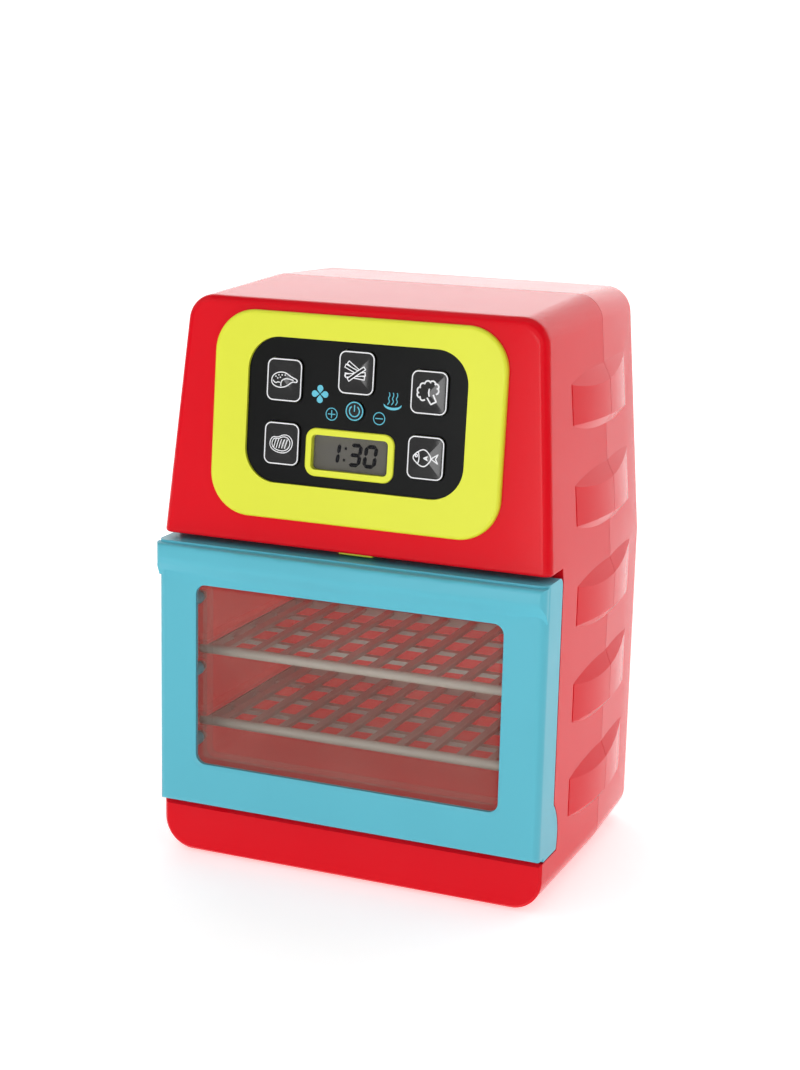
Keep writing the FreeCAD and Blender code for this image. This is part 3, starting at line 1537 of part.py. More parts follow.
def speaker_clips():
    """Four ribs on the rear wall's inside that the speaker sits between."""
    ribs = []
    inner = SPEAKER_RADIUS + PLATE_FIT
    for angle in (0, 90, 180, 270):
        rib = box(inner, inner + WALL, REAR_Y - CLIP_DEPTH, REAR_Y, -CLIP_HALF, CLIP_HALF)
        rib.rotate(V(0, 0, 0), BACKWARD, angle)
        rib.translate(V(SPEAKER_X, 0, SPEAKER_Z))
        ribs.append(rib)
    return Part.makeCompound(ribs)


def speaker():
    """The loudspeaker: a flat basket with a stepped back and a magnet."""
    y = REAR_Y - WALL
    pieces = []
    for radius, depth in (
        (SPEAKER_RADIUS, SPEAKER_THICK / 3),
        (SPEAKER_RADIUS - 3, SPEAKER_THICK),
        (MAGNET_RADIUS, SPEAKER_THICK + MAGNET_THICK),
    ):
        start = V(SPEAKER_X, y - depth, SPEAKER_Z)
        pieces.append(drum(radius, start, BACKWARD, depth, CELL_FLATS_COUNT))
    return fused(pieces)


def grille():
    """The level slots in front of the speaker, cut shorter towards the top and bottom."""
    slots = []
    for row in (-2, -1, 0, 1, 2):
        z = SPEAKER_Z + row * GRILLE_PITCH
        half = math.sqrt(GRILLE_REACH ** 2 - (row * GRILLE_PITCH) ** 2)
        low = z - GRILLE_SLOT / 2
        left = SPEAKER_X - half
        right = SPEAKER_X + half
        slots.append(box(left, right, REAR_Y - 2 * WALL, FAR, low, low + GRILLE_SLOT))
    return Part.makeCompound(slots)


def switch_slot():
    """The slot in the rear wall that the switch knob slides in."""
    half = (KNOB_WIDTH + SWITCH_TRAVEL) / 2 + KNOB_GAP
    high = KNOB_HEIGHT / 2 + KNOB_GAP
    return front_plate(
        half, SWITCH_Z - high, SWITCH_Z + high, SLOT_CORNER, REAR_Y - 2 * WALL, FAR, SPEAKER_X
    )


def switch_body():
    """The slide switch's case against the rear wall."""
    half = SWITCH_WIDTH / 2
    high = SWITCH_HEIGHT / 2
    back = REAR_Y - WALL
    return box(
        SPEAKER_X - half,
        SPEAKER_X + half,
        back - SWITCH_DEPTH,
        back,
        SWITCH_Z - high,
        SWITCH_Z + high,
    ).cut(switch_track())


def switch_track():
    """The space in the switch's case that its knob slides in."""
    half = (KNOB_WIDTH + SWITCH_TRAVEL) / 2 + KNOB_GAP
    high = KNOB_HEIGHT / 2 + KNOB_GAP
    back = REAR_Y - WALL
    low = back - SWITCH_DEPTH / 2
    return box(SPEAKER_X - half, SPEAKER_X + half, low, FAR, SWITCH_Z - high, SWITCH_Z + high)


def switch_knob():
    """The ridged knob, at the off end of its travel."""
    left = SPEAKER_X - (KNOB_WIDTH + SWITCH_TRAVEL) / 2
    back = REAR_Y - WALL
    low = SWITCH_Z - KNOB_HEIGHT / 2
    front = back - SWITCH_DEPTH / 2
    top = REAR_Y + KNOB_PROUD
    knob = box(left, left + KNOB_WIDTH, front, top, low, low + KNOB_HEIGHT)
    for step in (1, 2, 3):
        x = left + step * KNOB_WIDTH / 4 - KNOB_NICK / 2
        knob = knob.cut(box(x, x + KNOB_NICK, top - KNOB_NICK, FAR, low, low + KNOB_HEIGHT))
    return knob


def nodes():
    """Every named piece of the object."""
    made = {
        "front_shell": front_shell(),
        "rear_shell": rear_shell(),
        "case_screws": case_screws(),
        "oven_liner": oven_liner(),
        "liner_screws": liner_screws(),
        "door_frame": door_frame(),
        "door_window": door_window(),
        "window_screws": window_screws(),
        "hinge_pin_left": hinge_pin(-HINGE_X),
        "hinge_pin_right": hinge_pin(HINGE_X),
        "door_catch": door_catch(),
        "control_bezel": control_bezel(),
        "panel_plate": panel_plate(),
        "power_button": power_button(),
        "display_lens": display_lens(),
        "display_module": display_module(),
        "main_board": main_board(),
        "board_screws": board_screws(),
        "keypad_mat": keypad_mat(),
        "battery_cover": battery_cover(),
        "cover_screw": cover_screw(),
        "battery_contacts": battery_contacts(),
        "speaker": speaker(),
        "switch_body": switch_body(),
        "switch_knob": switch_knob(),
    }
    for name, level in RACK_LEVELS.items():
        made[name] = rack(level)
    for name, place in KEY_PLACES.items():
        made[name] = food_key(place)
    for index in range(BATTERY_COUNT):
        made[f"battery_{index + 1}"] = battery(index)
    return made


def main():
    """Writes one file per piece."""
    os.makedirs("parts", exist_ok=True)
    for name, shape in nodes().items():
        shape.exportStep(f"parts/{name}.step")
        size = shape.BoundBox
        print(name, len(shape.Solids), shape.isValid(), round(size.XLength, 1), end=" ")
        print(round(size.YLength, 1), round(size.ZLength, 1), round(shape.Volume / 1000, 2))


main()
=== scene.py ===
"""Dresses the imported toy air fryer: moulded finishes, printed symbols, display and studio."""

from __future__ import annotations

import json
import logging
import math
from dataclasses import dataclass, field
from enum import Enum
from typing import Callable, Iterable, Sequence

import bmesh
import bpy
from mathutils import Matrix, Vector
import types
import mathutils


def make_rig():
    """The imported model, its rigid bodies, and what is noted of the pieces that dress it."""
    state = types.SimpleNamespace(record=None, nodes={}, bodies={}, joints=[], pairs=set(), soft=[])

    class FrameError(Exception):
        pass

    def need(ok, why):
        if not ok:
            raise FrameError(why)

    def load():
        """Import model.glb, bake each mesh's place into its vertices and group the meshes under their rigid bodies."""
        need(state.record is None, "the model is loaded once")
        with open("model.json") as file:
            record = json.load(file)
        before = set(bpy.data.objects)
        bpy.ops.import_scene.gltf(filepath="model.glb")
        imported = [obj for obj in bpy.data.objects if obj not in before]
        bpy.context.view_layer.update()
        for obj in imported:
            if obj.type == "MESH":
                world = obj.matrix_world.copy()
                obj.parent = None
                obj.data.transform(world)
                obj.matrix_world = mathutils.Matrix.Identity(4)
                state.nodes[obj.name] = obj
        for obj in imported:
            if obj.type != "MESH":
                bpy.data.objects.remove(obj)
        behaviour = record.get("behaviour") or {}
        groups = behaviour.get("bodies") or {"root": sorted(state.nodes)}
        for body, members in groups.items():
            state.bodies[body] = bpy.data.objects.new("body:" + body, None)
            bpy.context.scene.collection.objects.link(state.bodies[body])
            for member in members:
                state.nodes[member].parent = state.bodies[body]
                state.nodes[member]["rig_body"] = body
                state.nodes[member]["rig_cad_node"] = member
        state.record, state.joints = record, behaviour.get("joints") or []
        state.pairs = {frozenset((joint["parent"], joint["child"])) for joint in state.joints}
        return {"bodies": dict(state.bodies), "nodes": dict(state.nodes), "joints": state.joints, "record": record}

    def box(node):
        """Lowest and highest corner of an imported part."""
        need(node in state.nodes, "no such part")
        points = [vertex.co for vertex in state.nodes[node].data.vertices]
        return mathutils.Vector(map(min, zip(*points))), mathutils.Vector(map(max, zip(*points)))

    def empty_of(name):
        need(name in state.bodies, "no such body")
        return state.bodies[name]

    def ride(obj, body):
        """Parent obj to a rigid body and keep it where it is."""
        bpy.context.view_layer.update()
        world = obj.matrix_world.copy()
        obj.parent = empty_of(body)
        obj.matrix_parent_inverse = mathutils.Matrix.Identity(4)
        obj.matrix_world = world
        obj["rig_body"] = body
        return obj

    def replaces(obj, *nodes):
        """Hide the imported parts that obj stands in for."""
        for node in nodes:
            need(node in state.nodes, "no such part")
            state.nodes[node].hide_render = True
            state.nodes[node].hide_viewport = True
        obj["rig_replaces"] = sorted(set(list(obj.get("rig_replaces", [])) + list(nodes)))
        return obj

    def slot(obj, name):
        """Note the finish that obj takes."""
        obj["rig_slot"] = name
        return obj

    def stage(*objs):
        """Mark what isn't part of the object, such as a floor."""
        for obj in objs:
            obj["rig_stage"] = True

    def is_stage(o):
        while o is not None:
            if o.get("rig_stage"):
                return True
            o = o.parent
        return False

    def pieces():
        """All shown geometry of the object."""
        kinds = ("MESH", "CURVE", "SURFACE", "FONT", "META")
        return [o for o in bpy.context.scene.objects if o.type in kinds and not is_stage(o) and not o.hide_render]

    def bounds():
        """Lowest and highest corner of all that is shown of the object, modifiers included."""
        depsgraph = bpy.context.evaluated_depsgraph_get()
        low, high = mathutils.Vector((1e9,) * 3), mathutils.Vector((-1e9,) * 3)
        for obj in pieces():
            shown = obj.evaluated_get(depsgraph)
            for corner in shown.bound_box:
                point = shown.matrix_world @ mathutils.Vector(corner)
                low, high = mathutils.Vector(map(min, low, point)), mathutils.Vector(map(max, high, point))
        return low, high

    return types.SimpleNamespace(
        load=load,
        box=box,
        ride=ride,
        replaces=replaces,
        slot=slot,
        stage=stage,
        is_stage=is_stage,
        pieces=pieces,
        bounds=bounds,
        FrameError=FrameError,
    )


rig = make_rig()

LOG = logging.getLogger("air_fryer")
MM = 0.001
Colour = tuple[float, float, float]
Point = tuple[float, float]


def srgb(red: int, green: int, blue: int) -> Colour:
    """A screen colour as the linear values that the shaders take."""
    parts = []
    for level in (red, green, blue):
        share = level / 255
        low = share / 12.92
        high = ((share + 0.055) / 1.055) ** 2.4
        parts.append(low if share <= 0.04045 else high)
    return (parts[0], parts[1], parts[2])


class Value:
    """A number socket whose arithmetic adds Math nodes."""

    def __init__(self, graph: Graph, socket: bpy.types.NodeSocket) -> None:
        """Keeps the graph that owns the socket."""
        self.graph = graph
        self.socket = socket

    def _math(self, operation: str, first: object, second: object) -> Value:
        """One Math node.

        Args:
            operation: the Math node's operation.
            first: its first input, a number or a Value.
            second: its second input.

        Returns:
            The node's result.
        """
        made = self.graph.node("Math", {"operation": operation}, {0: first, 1: second})
        return Value(self.graph, made.outputs[0])

    def __add__(self, other: object) -> Value:
        """This plus another."""
        return self._math("ADD", self, other)

    __radd__ = __add__

    def __sub__(self, other: object) -> Value:
        """This less another."""
        return self._math("SUBTRACT", self, other)

    def __rsub__(self, other: object) -> Value:
        """Another less this."""
        return self._math("SUBTRACT", other, self)

    def __mul__(self, other: object) -> Value:
        """This times another."""
        return self._math("MULTIPLY", self, other)

    __rmul__ = __mul__

    def above(self, level: float) -> Value:
        """One where this is over a level, and nought elsewhere."""
        return self._math("GREATER_THAN", self, level)

    def largest(self, other: object) -> Value:
        """The larger of this and another."""
        return self._math("MAXIMUM", self, other)

    def size(self) -> Value:
        """This without its sign."""
        return self._math("ABSOLUTE", self, 0.0)


class Graph:
    """One material's node tree, with a principled shader at its end."""

    def __init__(self, name: str) -> None:
        """Makes the material and its end nodes."""
        self.material = bpy.data.materials.new(name)
        self.material.use_nodes = True
        self.tree = self.material.node_tree
        self.tree.nodes.clear()
        self.end = self.tree.nodes.new("ShaderNodeOutputMaterial")
        self.shader = self.tree.nodes.new("ShaderNodeBsdfPrincipled")
        self.tree.links.new(self.shader.outputs[0], self.end.inputs["Surface"])
        self.place = self.node("TexCoord").outputs["Object"]

    def node(
        self, kind: str, settings: dict | None = None, inputs: dict | None = None
    ) -> bpy.types.Node:
        """Adds one node.

        Args:
            kind: the node's type, without its ShaderNode prefix.
            settings: its properties; stops sets a colour ramp's stops.
            inputs: values, sockets or Values for its inputs, by name or number.

        Returns:
            The node.
        """
        made = self.tree.nodes.new("ShaderNode" + kind)
        for key, setting in (settings or {}).items():
            if key == "stops":
                self._set_stops(made.color_ramp, setting)
            else:
                setattr(made, key, setting)
        for key, given in (inputs or {}).items():
            self.feed(made.inputs[key], given)
        return made

    def _set_stops(self, ramp: bpy.types.ColorRamp, stops: Sequence[tuple]) -> None:
        """Sets a colour ramp's stops.

        Args:
            ramp: the ramp.
            stops: pairs of a position and a colour.
        """
        while len(ramp.elements) < len(stops):
            ramp.elements.new(1.0)
        for element, (position, colour) in zip(ramp.elements, stops):
            element.position = position
            element.color = (*colour, 1.0)

    def feed(self, socket: bpy.types.NodeSocket, given: object) -> None:
        """Sets a socket's value or links it.

        Args:
            socket: the input.
            given: a number, a colour, a socket or a Value.
        """
        if isinstance(given, Value):
            self.tree.links.new(given.socket, socket)
        elif isinstance(given, bpy.types.NodeSocket):
            self.tree.links.new(given, socket)
        elif isinstance(given, tuple) and socket.type == "RGBA":
            socket.default_value = (*given, 1.0)
        else:
            socket.default_value = given

    def noise(self, scale: float, detail: float = 2.0, stretch: Colour = (1, 1, 1)) -> Value:
        """Cloudy noise on the piece's own coordinates.

        Args:
            scale: waves per metre.
            detail: layers of finer noise.
            stretch: factors on the coordinates.

        Returns:
            Values around a half.
        """
        mapped = self.node("Mapping", None, {"Vector": self.place, "Scale": stretch})
        made = self.node(
            "TexNoise", None, {"Vector": mapped.outputs[0], "Scale": scale, "Detail": detail}
        )
        return Value(self, made.outputs["Fac"])

    def blend(self, share: object, first: object, second: object) -> bpy.types.NodeSocket:
        """Mixes two colours.

        Args:
            share: how much of the second.
            first: the first colour or socket.
            second: the second.

        Returns:
            The mixed colour's socket.
        """
        made = self.node("Mix", {"data_type": "RGBA"}, {0: share, 6: first, 7: second})
        return made.outputs[2]

    def ramp(self, value: Value, low: float, high: float) -> Value:
        """Stretches a value so that low becomes nought and high becomes one."""
        made = self.node("MapRange", None, {"Value": value, 1: low, 2: high})
        return Value(self, made.outputs[0])

    def bump(self, height: Value, depth: float) -> None:
        """Feeds a height into the shader's normal.

        Args:
            height: the height pattern.
            depth: metres from its nought to its one.
        """
        made = self.node("Bump", None, {"Height": height, "Distance": depth, "Strength": 1.0})
        self.feed(self.shader.inputs["Normal"], made.outputs[0])

    def set(self, **values: object) -> None:
        """Sets the shader's inputs; an underscore in a name stands for a space."""
        for name, given in values.items():
            self.feed(self.shader.inputs[name.replace("_", " ")], given)


@dataclass(frozen=True)
class Moulded:
    """A moulded plastic skin: faint flow marks, handling haze and a fine surface grain, with an optional painted glow.
    """

    name: str
    colour: Colour
    roughness: float
    grain_scale: float = 5000.0
    grain_depth: float = 0.000004
    haze: float = 0.06
    drift: float = 0.06
    specular: float = 0.5
    coat: float = 0.0
    flow_depth: float = 0.00003
    # Emission strength: a painted glow that makes the skin look more brightly lit than the lamps make it.
    painted_glow: float = 0.0

    def material(self) -> bpy.types.Material:
        """Builds the finish's material.

        Returns:
            The material.
        """
        graph = Graph(self.name)
        deep = tuple(part * (1 - self.drift) for part in self.colour)
        pale = tuple(min(1.0, part * (1 + self.drift) + 0.002) for part in self.colour)
        flow = graph.noise(14.0, 3.0, (1.0, 1.0, 0.45))
        graph.set(Base_Color=graph.blend(graph.ramp(flow, 0.35, 0.65), deep, pale))
        cloud = graph.noise(55.0, 5.0)
        speck = graph.noise(900.0, 2.0)
        specks = graph.ramp(speck, 0.62, 0.7) * (self.haze / 2)
        mist = graph.ramp(cloud, 0.35, 0.75) * self.haze + specks
        graph.set(Roughness=mist + self.roughness, Coat_Weight=self.coat, Coat_Roughness=0.12)
        graph.set(Specular_IOR_Level=self.specular, IOR=1.5)
        # Painted light: the skin's own colour is emitted as a glow, though the part is no lamp.
        graph.set(Emission_Color=self.colour, Emission_Strength=self.painted_glow)
        grain = graph.noise(self.grain_scale, 1.0)
        flow_marks = graph.noise(30.0, 1.0)
        graph.bump(grain * self.grain_depth + flow_marks * self.flow_depth, 1.0)
        return graph.material


@dataclass(frozen=True)
class Clear:
    """A clear or smoked moulding: a thin veil over what lies behind, with a glossy face."""

    name: str
    tint: Colour
    veil: float
    roughness: float = 0.08

    def material(self) -> bpy.types.Material:
        """Builds the finish's material.

        Returns:
            The material.
        """
        graph = Graph(self.name)
        cloud = graph.noise(40.0, 4.0)
        dust = graph.noise(2600.0, 2.0)
        mist = graph.ramp(cloud, 0.3, 0.8)
        darker = tuple(part * 0.85 for part in self.tint)
        graph.set(Base_Color=graph.blend(mist, darker, self.tint))
        graph.set(Roughness=mist * 0.05 + self.roughness)
        graph.set(Alpha=mist * 0.03 + graph.ramp(dust, 0.7, 0.8) * 0.03 + self.veil)
        graph.set(IOR=1.49, Coat_Weight=0.6, Coat_Roughness=0.04)
        graph.bump(cloud, 0.00005)
        return graph.material


@dataclass(frozen=True)
class Metal:
    """A plated or turned metal part with fine turning marks."""

    name: str
    colour: Colour
    roughness: float

    def material(self) -> bpy.types.Material:
        """Builds the finish's material.

        Returns:
            The material.
        """
        graph = Graph(self.name)
        tarnish = graph.noise(600.0, 4.0)
        dull = tuple(part * 0.7 for part in self.colour)
        graph.set(Base_Color=graph.blend(graph.ramp(tarnish, 0.4, 0.7), self.colour, dull))
        graph.set(Metallic=1.0, Roughness=graph.ramp(tarnish, 0.3, 0.8) * 0.2 + self.roughness)
        graph.bump(graph.noise(9000.0, 1.0), 0.00001)
        return graph.material


@dataclass(frozen=True)
class Print:
    """Screen-printed ink: nearly flat, with a faint dither at its edges and surface, and an optional painted glow."""

    name: str
    colour: Colour
    # Emission strength: a painted glow that makes the ink look brighter than the lamps make it.
    painted_glow: float = 0.0
    specular: float = 0.5

    def material(self) -> bpy.types.Material:
        """Builds the finish's material.

        Returns:
            The material.
        """
        graph = Graph(self.name)
        ink = graph.ramp(graph.noise(7000.0, 2.0), 0.35, 0.6)
        thin = tuple(part * 0.85 for part in self.colour)
        graph.set(Base_Color=graph.blend(ink, thin, self.colour), Roughness=ink * 0.1 + 0.35)
        # Painted light: the ink's own colour is emitted as a glow, though the ink is no lamp.
        graph.set(Emission_Color=self.colour, Emission_Strength=self.painted_glow)
        graph.set(Specular_IOR_Level=self.specular)
        graph.bump(ink, 0.00001)
        return graph.material


class Finish(Enum):
    """Every finish on the toy."""

    RED = Moulded("glossy_red", srgb(222, 10, 28), 0.13, haze=0.03, drift=0.015, specular=0.12)
    # The tub's painted glow brightens the oven's inside behind the smoked window in place of more light.
    TUB = Moulded("satin_red", srgb(224, 30, 36), 0.42, drift=0.04, painted_glow=0.15)
    TURQUOISE = Moulded("satin_turquoise", srgb(86, 182, 201), 0.34, drift=0.02, specular=0.35)
    LIME = Moulded("satin_lime", srgb(226, 231, 56), 0.34, drift=0.02, specular=0.35)
    BLACK = Moulded("satin_black_plate", srgb(17, 18, 18), 0.32, drift=0.2, specular=0.1)
    KEY = Moulded("glossy_black_key", srgb(20, 19, 20), 0.07, haze=0.02, drift=0.2, specular=0.35)
    MATT = Moulded("matt_black_moulding", srgb(32, 32, 33), 0.55, drift=0.2)
    RACK = Moulded("pale_grey_rack", srgb(186, 178, 166), 0.4, drift=0.03)
    CELL = Moulded("cell_jacket", srgb(52, 55, 60), 0.3, drift=0.1)
    BOARD = Moulded("board_green", srgb(36, 110, 66), 0.4, drift=0.1)
    MAT = Moulded("mat_grey_rubber", srgb(150, 150, 150), 0.7, drift=0.05)
    DISPLAY = Moulded("display_grey", srgb(96, 93, 88), 0.35, drift=0.03, specular=0.2)
    SMOKED = Clear("smoked_clear", srgb(180, 166, 152), 0.08)
    LENS = Clear("display_lens_clear", srgb(120, 120, 118), 0.02)
    ZINC = Metal("zinc_plate", (0.62, 0.62, 0.62), 0.3)
    STEEL = Metal("pin_steel", (0.58, 0.57, 0.56), 0.22)
    CONTACT = Metal("nickel_contacts", (0.66, 0.63, 0.58), 0.25)
    # The white and teal inks take a painted glow that brightens them beyond their lighting.
    WHITE_INK = Print("white_ink", srgb(238, 238, 240), 0.12)
    BLACK_INK = Print("black_ink", srgb(22, 21, 22), specular=0.2)
    TEAL_INK = Print("teal_ink", srgb(92, 192, 214), 0.08)
    DIGIT = Print("display_digit", srgb(14, 13, 20), specular=0.05)


class Finishes:
    """Makes each finish's material once."""

    def __init__(self) -> None:
        """Starts with none made."""
        self.made: dict[Finish, bpy.types.Material] = {}

    def get(self, finish: Finish) -> bpy.types.Material:
        """The material of a finish."""
        if finish not in self.made:
            self.made[finish] = finish.value.material()
        return self.made[finish]


FINISHES = Finishes()


@dataclass
class Plane:
    """A flat place on the toy, with X across it, Y up it and Z out of it, in millimetres."""

    origin: Vector
    up: Vector
    out: Vector

    def matrix(self) -> Matrix:
        """Turns millimetres on the plane into metres in the frame."""
        across = self.up.cross(self.out)
        turn = Matrix((across, self.up, self.out)).transposed().to_4x4()
        return Matrix.Translation(self.origin) @ turn @ Matrix.Scale(MM, 4)


def span(node: str, direction: Vector) -> tuple[float, float]:
    """How far a CAD node reaches along a direction.

    Args:
        node: the node's name.
        direction: a unit vector.

    Returns:
        Its lowest and highest reach, in metres.
    """
    reaches = [vertex.co.dot(direction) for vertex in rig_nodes()[node].data.vertices]
    return min(reaches), max(reaches)


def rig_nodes() -> dict[str, bpy.types.Object]:
    """The CAD nodes by name."""
    return {o["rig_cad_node"]: o for o in bpy.data.objects if "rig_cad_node" in o}


def finish_mesh(
    name: str, made: bmesh.types.BMesh, finish: Finish, body: str, slot: str
) -> bpy.types.Object:
    """Turns a bmesh into a piece that rides on a body.

    Args:
        name: the piece's name.
        made: its mesh, in metres in the frame.
        finish: what it is dressed in.
        body: the CAD body it rides on.
        slot: the material slot it belongs to.

    Returns:
        The piece.
    """
    mesh = bpy.data.meshes.new(name)
    made.to_mesh(mesh)
    made.free()
    mesh.materials.append(FINISHES.get(finish))
    piece = bpy.data.objects.new(name, mesh)
    bpy.context.scene.collection.objects.link(piece)
    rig.ride(piece, body)
    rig.slot(piece, slot)
    return piece


def smooth_by_angle(made: bmesh.types.BMesh, angle: float, soft_behind: float) -> None:
    """Smooths the shading, but keeps edges sharper than an angle.

    Args:
        made: the mesh.
        angle: the limit, in degrees.
        soft_behind: depth behind which edges up to a half right angle are smoothed too.
    """
    limit = math.radians(angle)
    soft_limit = math.radians(50.0)
    for face in made.faces:
        face.smooth = True
    for edge in made.edges:
        if len(edge.link_faces) == 2:
            behind = min(vertex.co.y for vertex in edge.verts) > soft_behind
            edge.smooth = edge.calc_face_angle(0.0) < (soft_limit if behind else limit)


def dress_node(
    node: str,
    finish: Finish,
    body: str,
    slot: str,
    angle: float = 28.0,
    soft_behind: float = math.inf,
) -> None:
    """Stands a smooth-shaded copy in for a CAD node and dresses it.

    Args:
        node: the CAD node.
        finish: its finish.
        body: the body it rides on.
        slot: its material slot.
        angle: edges sharper than this stay crisp, in degrees.
        soft_behind: depth behind which blunter edges are smoothed too, in metres.
    """
    made = bmesh.new()
    made.from_mesh(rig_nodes()[node].data)
    bmesh.ops.remove_doubles(made, verts=made.verts, dist=0.002 * MM)
    smooth_by_angle(made, angle, soft_behind)
    piece = finish_mesh(node + "_skin", made, finish, body, slot)
    weighted = piece.modifiers.new("Even shading", "WEIGHTED_NORMAL")
    weighted.keep_sharp = True
    weighted.weight = 100
    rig.replaces(piece, node)
    LOG.info("%s dressed as %s", node, finish.name)


Surface = Callable[[float, float], float]


def level(x: float, y: float) -> float:
    """A flat surface."""
    return 0.0 * x * y


@dataclass
class Stroke:
    """One printed line: its points in millimetres, and how it runs."""

    points: Sequence[Point]
    closed: bool = False
    curved: bool = True


def arc(cx: float, cy: float, radius: float, start: float, end: float, count: int = 14) -> list:
    """Points along a circle's arc.

    Args:
        cx: centre, across.
        cy: centre, up.
        radius: its radius.
        start: first angle, in degrees.
        end: last angle.
        count: steps along it.

    Returns:
        The points.
    """
    made = []
    for step in range(count + 1):
        angle = math.radians(start + (end - start) * step / count)
        made.append((cx + radius * math.cos(angle), cy + radius * math.sin(angle)))
    return made


def spaced(points: Sequence[Point], closed: bool, step: float = 0.3) -> list[Point]:
    """Adds points along straight runs, so that a line can follow a surface.

    Args:
        points: the corners.
        closed: whether the last runs back to the first.
        step: longest run that is left, in millimetres.

    Returns:
        The corners and the points between them.
    """
    ends = [*points[1:], points[0]] if closed else points[1:]
    made = []
    for (x0, y0), (x1, y1) in zip(points, ends):
        count = max(1, math.ceil(math.hypot(x1 - x0, y1 - y0) / step))
        made += [(x0 + (x1 - x0) * k / count, y0 + (y1 - y0) * k / count) for k in range(count)]
    return made if closed else [*made, points[-1]]


def stroke_mesh(strokes: Iterable[Stroke], width: float, thick: float) -> bmesh.types.BMesh:
    """Draws strokes as thin raised lines in their own plane, in millimetres.

    Args:
        strokes: the lines.
        width: line width.
        thick: line height.

    Returns:
        One mesh of all the lines.
    """
    made = bmesh.new()
    for stroke in strokes:
        curve = bpy.data.curves.new("stroke", "CURVE")
        curve.dimensions = "3D"
        curve.bevel_depth = width / 2
        curve.bevel_resolution = 1
        curve.use_fill_caps = True
        curve.resolution_u = 5
        spline = curve.splines.new("NURBS" if stroke.curved else "POLY")
        places = stroke.points if stroke.curved else spaced(stroke.points, stroke.closed)
        spline.points.add(len(places) - 1)
        for point, (x, y) in zip(spline.points, places):
            point.co = (x, y, 0.0, 1.0)
        spline.use_cyclic_u = stroke.closed
        if stroke.curved:
            spline.order_u = 3
            spline.use_endpoint_u = not stroke.closed
        holder = bpy.data.objects.new("stroke", curve)
        bpy.context.scene.collection.objects.link(holder)
        mesh = bpy.data.meshes.new_from_object(holder)
        made.from_mesh(mesh)
        bpy.data.objects.remove(holder)
        bpy.data.meshes.remove(mesh)
        bpy.data.curves.remove(curve)
    bmesh.ops.scale(made, vec=(1.0, 1.0, thick / width), verts=made.verts)
    for face in made.faces:
        face.smooth = True
    return made


def lay_on(made: bmesh.types.BMesh, plane: Plane, surface: Surface = level) -> None:
    """Moves a flat drawing onto a plane, following a surface's height.

    Args:
        made: the drawing, in millimetres.
        plane: where it goes.
        surface: height over the plane at each place, in millimetres.
    """
    for vertex in made.verts:
        vertex.co.z += surface(vertex.co.x, vertex.co.y)
    made.transform(plane.matrix())


def rounded_ring(width: float, height: float, corner: float, line: float) -> list[Stroke]:
    """A rounded rectangle's outline as one closed stroke.

    Args:
        width: outside width.
        height: outside height.
        corner: outside corner radius.
        line: line width.

    Returns:
        The stroke, in a list.
    """
    radius = corner - line / 2
    x = width / 2 - corner
    y = height / 2 - corner
    points: list = []
    for sign_x, sign_y, start in ((1, -1, -90), (1, 1, 0), (-1, 1, 90), (-1, -1, 180)):
        points += arc(sign_x * x, sign_y * y, radius, start, start + 90, 6)
    return [Stroke(points, closed=True, curved=False)]


@dataclass
class Casing:
    """The red casing, the oven tub and everything that stays inside it."""

    red_nodes: tuple[str, ...] = ("front_shell", "rear_shell")
    crease: float = 18.0
    rear_rim: float = 3.2

    def build(self) -> None:
        """Dresses the shells and the fixed inner pieces."""
        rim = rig.box("rear_shell")[1].y - self.rear_rim * MM
        for node in self.red_nodes:
            dress_node(node, Finish.RED, "casing", "red_gloss", self.crease, rim)
        dress_node("oven_liner", Finish.TUB, "casing", "red_tub")
        dress_node("door_catch", Finish.LIME, "casing", "lime_plastic")
        dress_node("battery_cover", Finish.RED, "battery_cover", "red_gloss")
        dress_node("cover_screw", Finish.ZINC, "battery_cover", "zinc_screw")
        for node in ("case_screws", "liner_screws", "board_screws"):
            dress_node(node, Finish.ZINC, "casing", "zinc_screw")
        dress_node("main_board", Finish.BOARD, "casing", "board_green")
        dress_node("keypad_mat", Finish.MAT, "casing", "mat_rubber")
        dress_node("battery_contacts", Finish.CONTACT, "casing", "contact_metal")
        dress_node("speaker", Finish.MATT, "casing", "speaker_black")
        dress_node("switch_body", Finish.MATT, "casing", "black_matte")
        dress_node("switch_knob", Finish.MATT, "switch_knob", "black_matte")
        for index in (1, 2, 3):
            dress_node(f"battery_{index}", Finish.CELL, "casing", "cell_jacket")


@dataclass
class Door:
    """The drop-down door with its smoked window and steel pins."""

    body: str = "door"

    def build(self) -> None:
        """Dresses the door's pieces."""
        dress_node("door_frame", Finish.TURQUOISE, self.body, "turquoise_plastic")
        dress_node("door_window", Finish.SMOKED, self.body, "smoked_clear")
        dress_node("window_screws", Finish.ZINC, self.body, "zinc_screw")
        for side in ("left", "right"):
            dress_node(f"hinge_pin_{side}", Finish.STEEL, self.body, "pin_steel")


@dataclass
class Racks:
    """The two pull-out racks."""

    names: tuple[str, ...] = ("upper_rack", "lower_rack")

    def build(self) -> None:
        """Dresses the racks."""
        for name in self.names:
            dress_node(name, Finish.RACK, name, "rack_grey")


class Symbol(Enum):
    """The five foods on the keys."""

    POULTRY = "poultry_key"
    STICKS = "sticks_key"
    GREENS = "greens_key"
    POTATO = "potato_key"
    FISH = "fish_key"


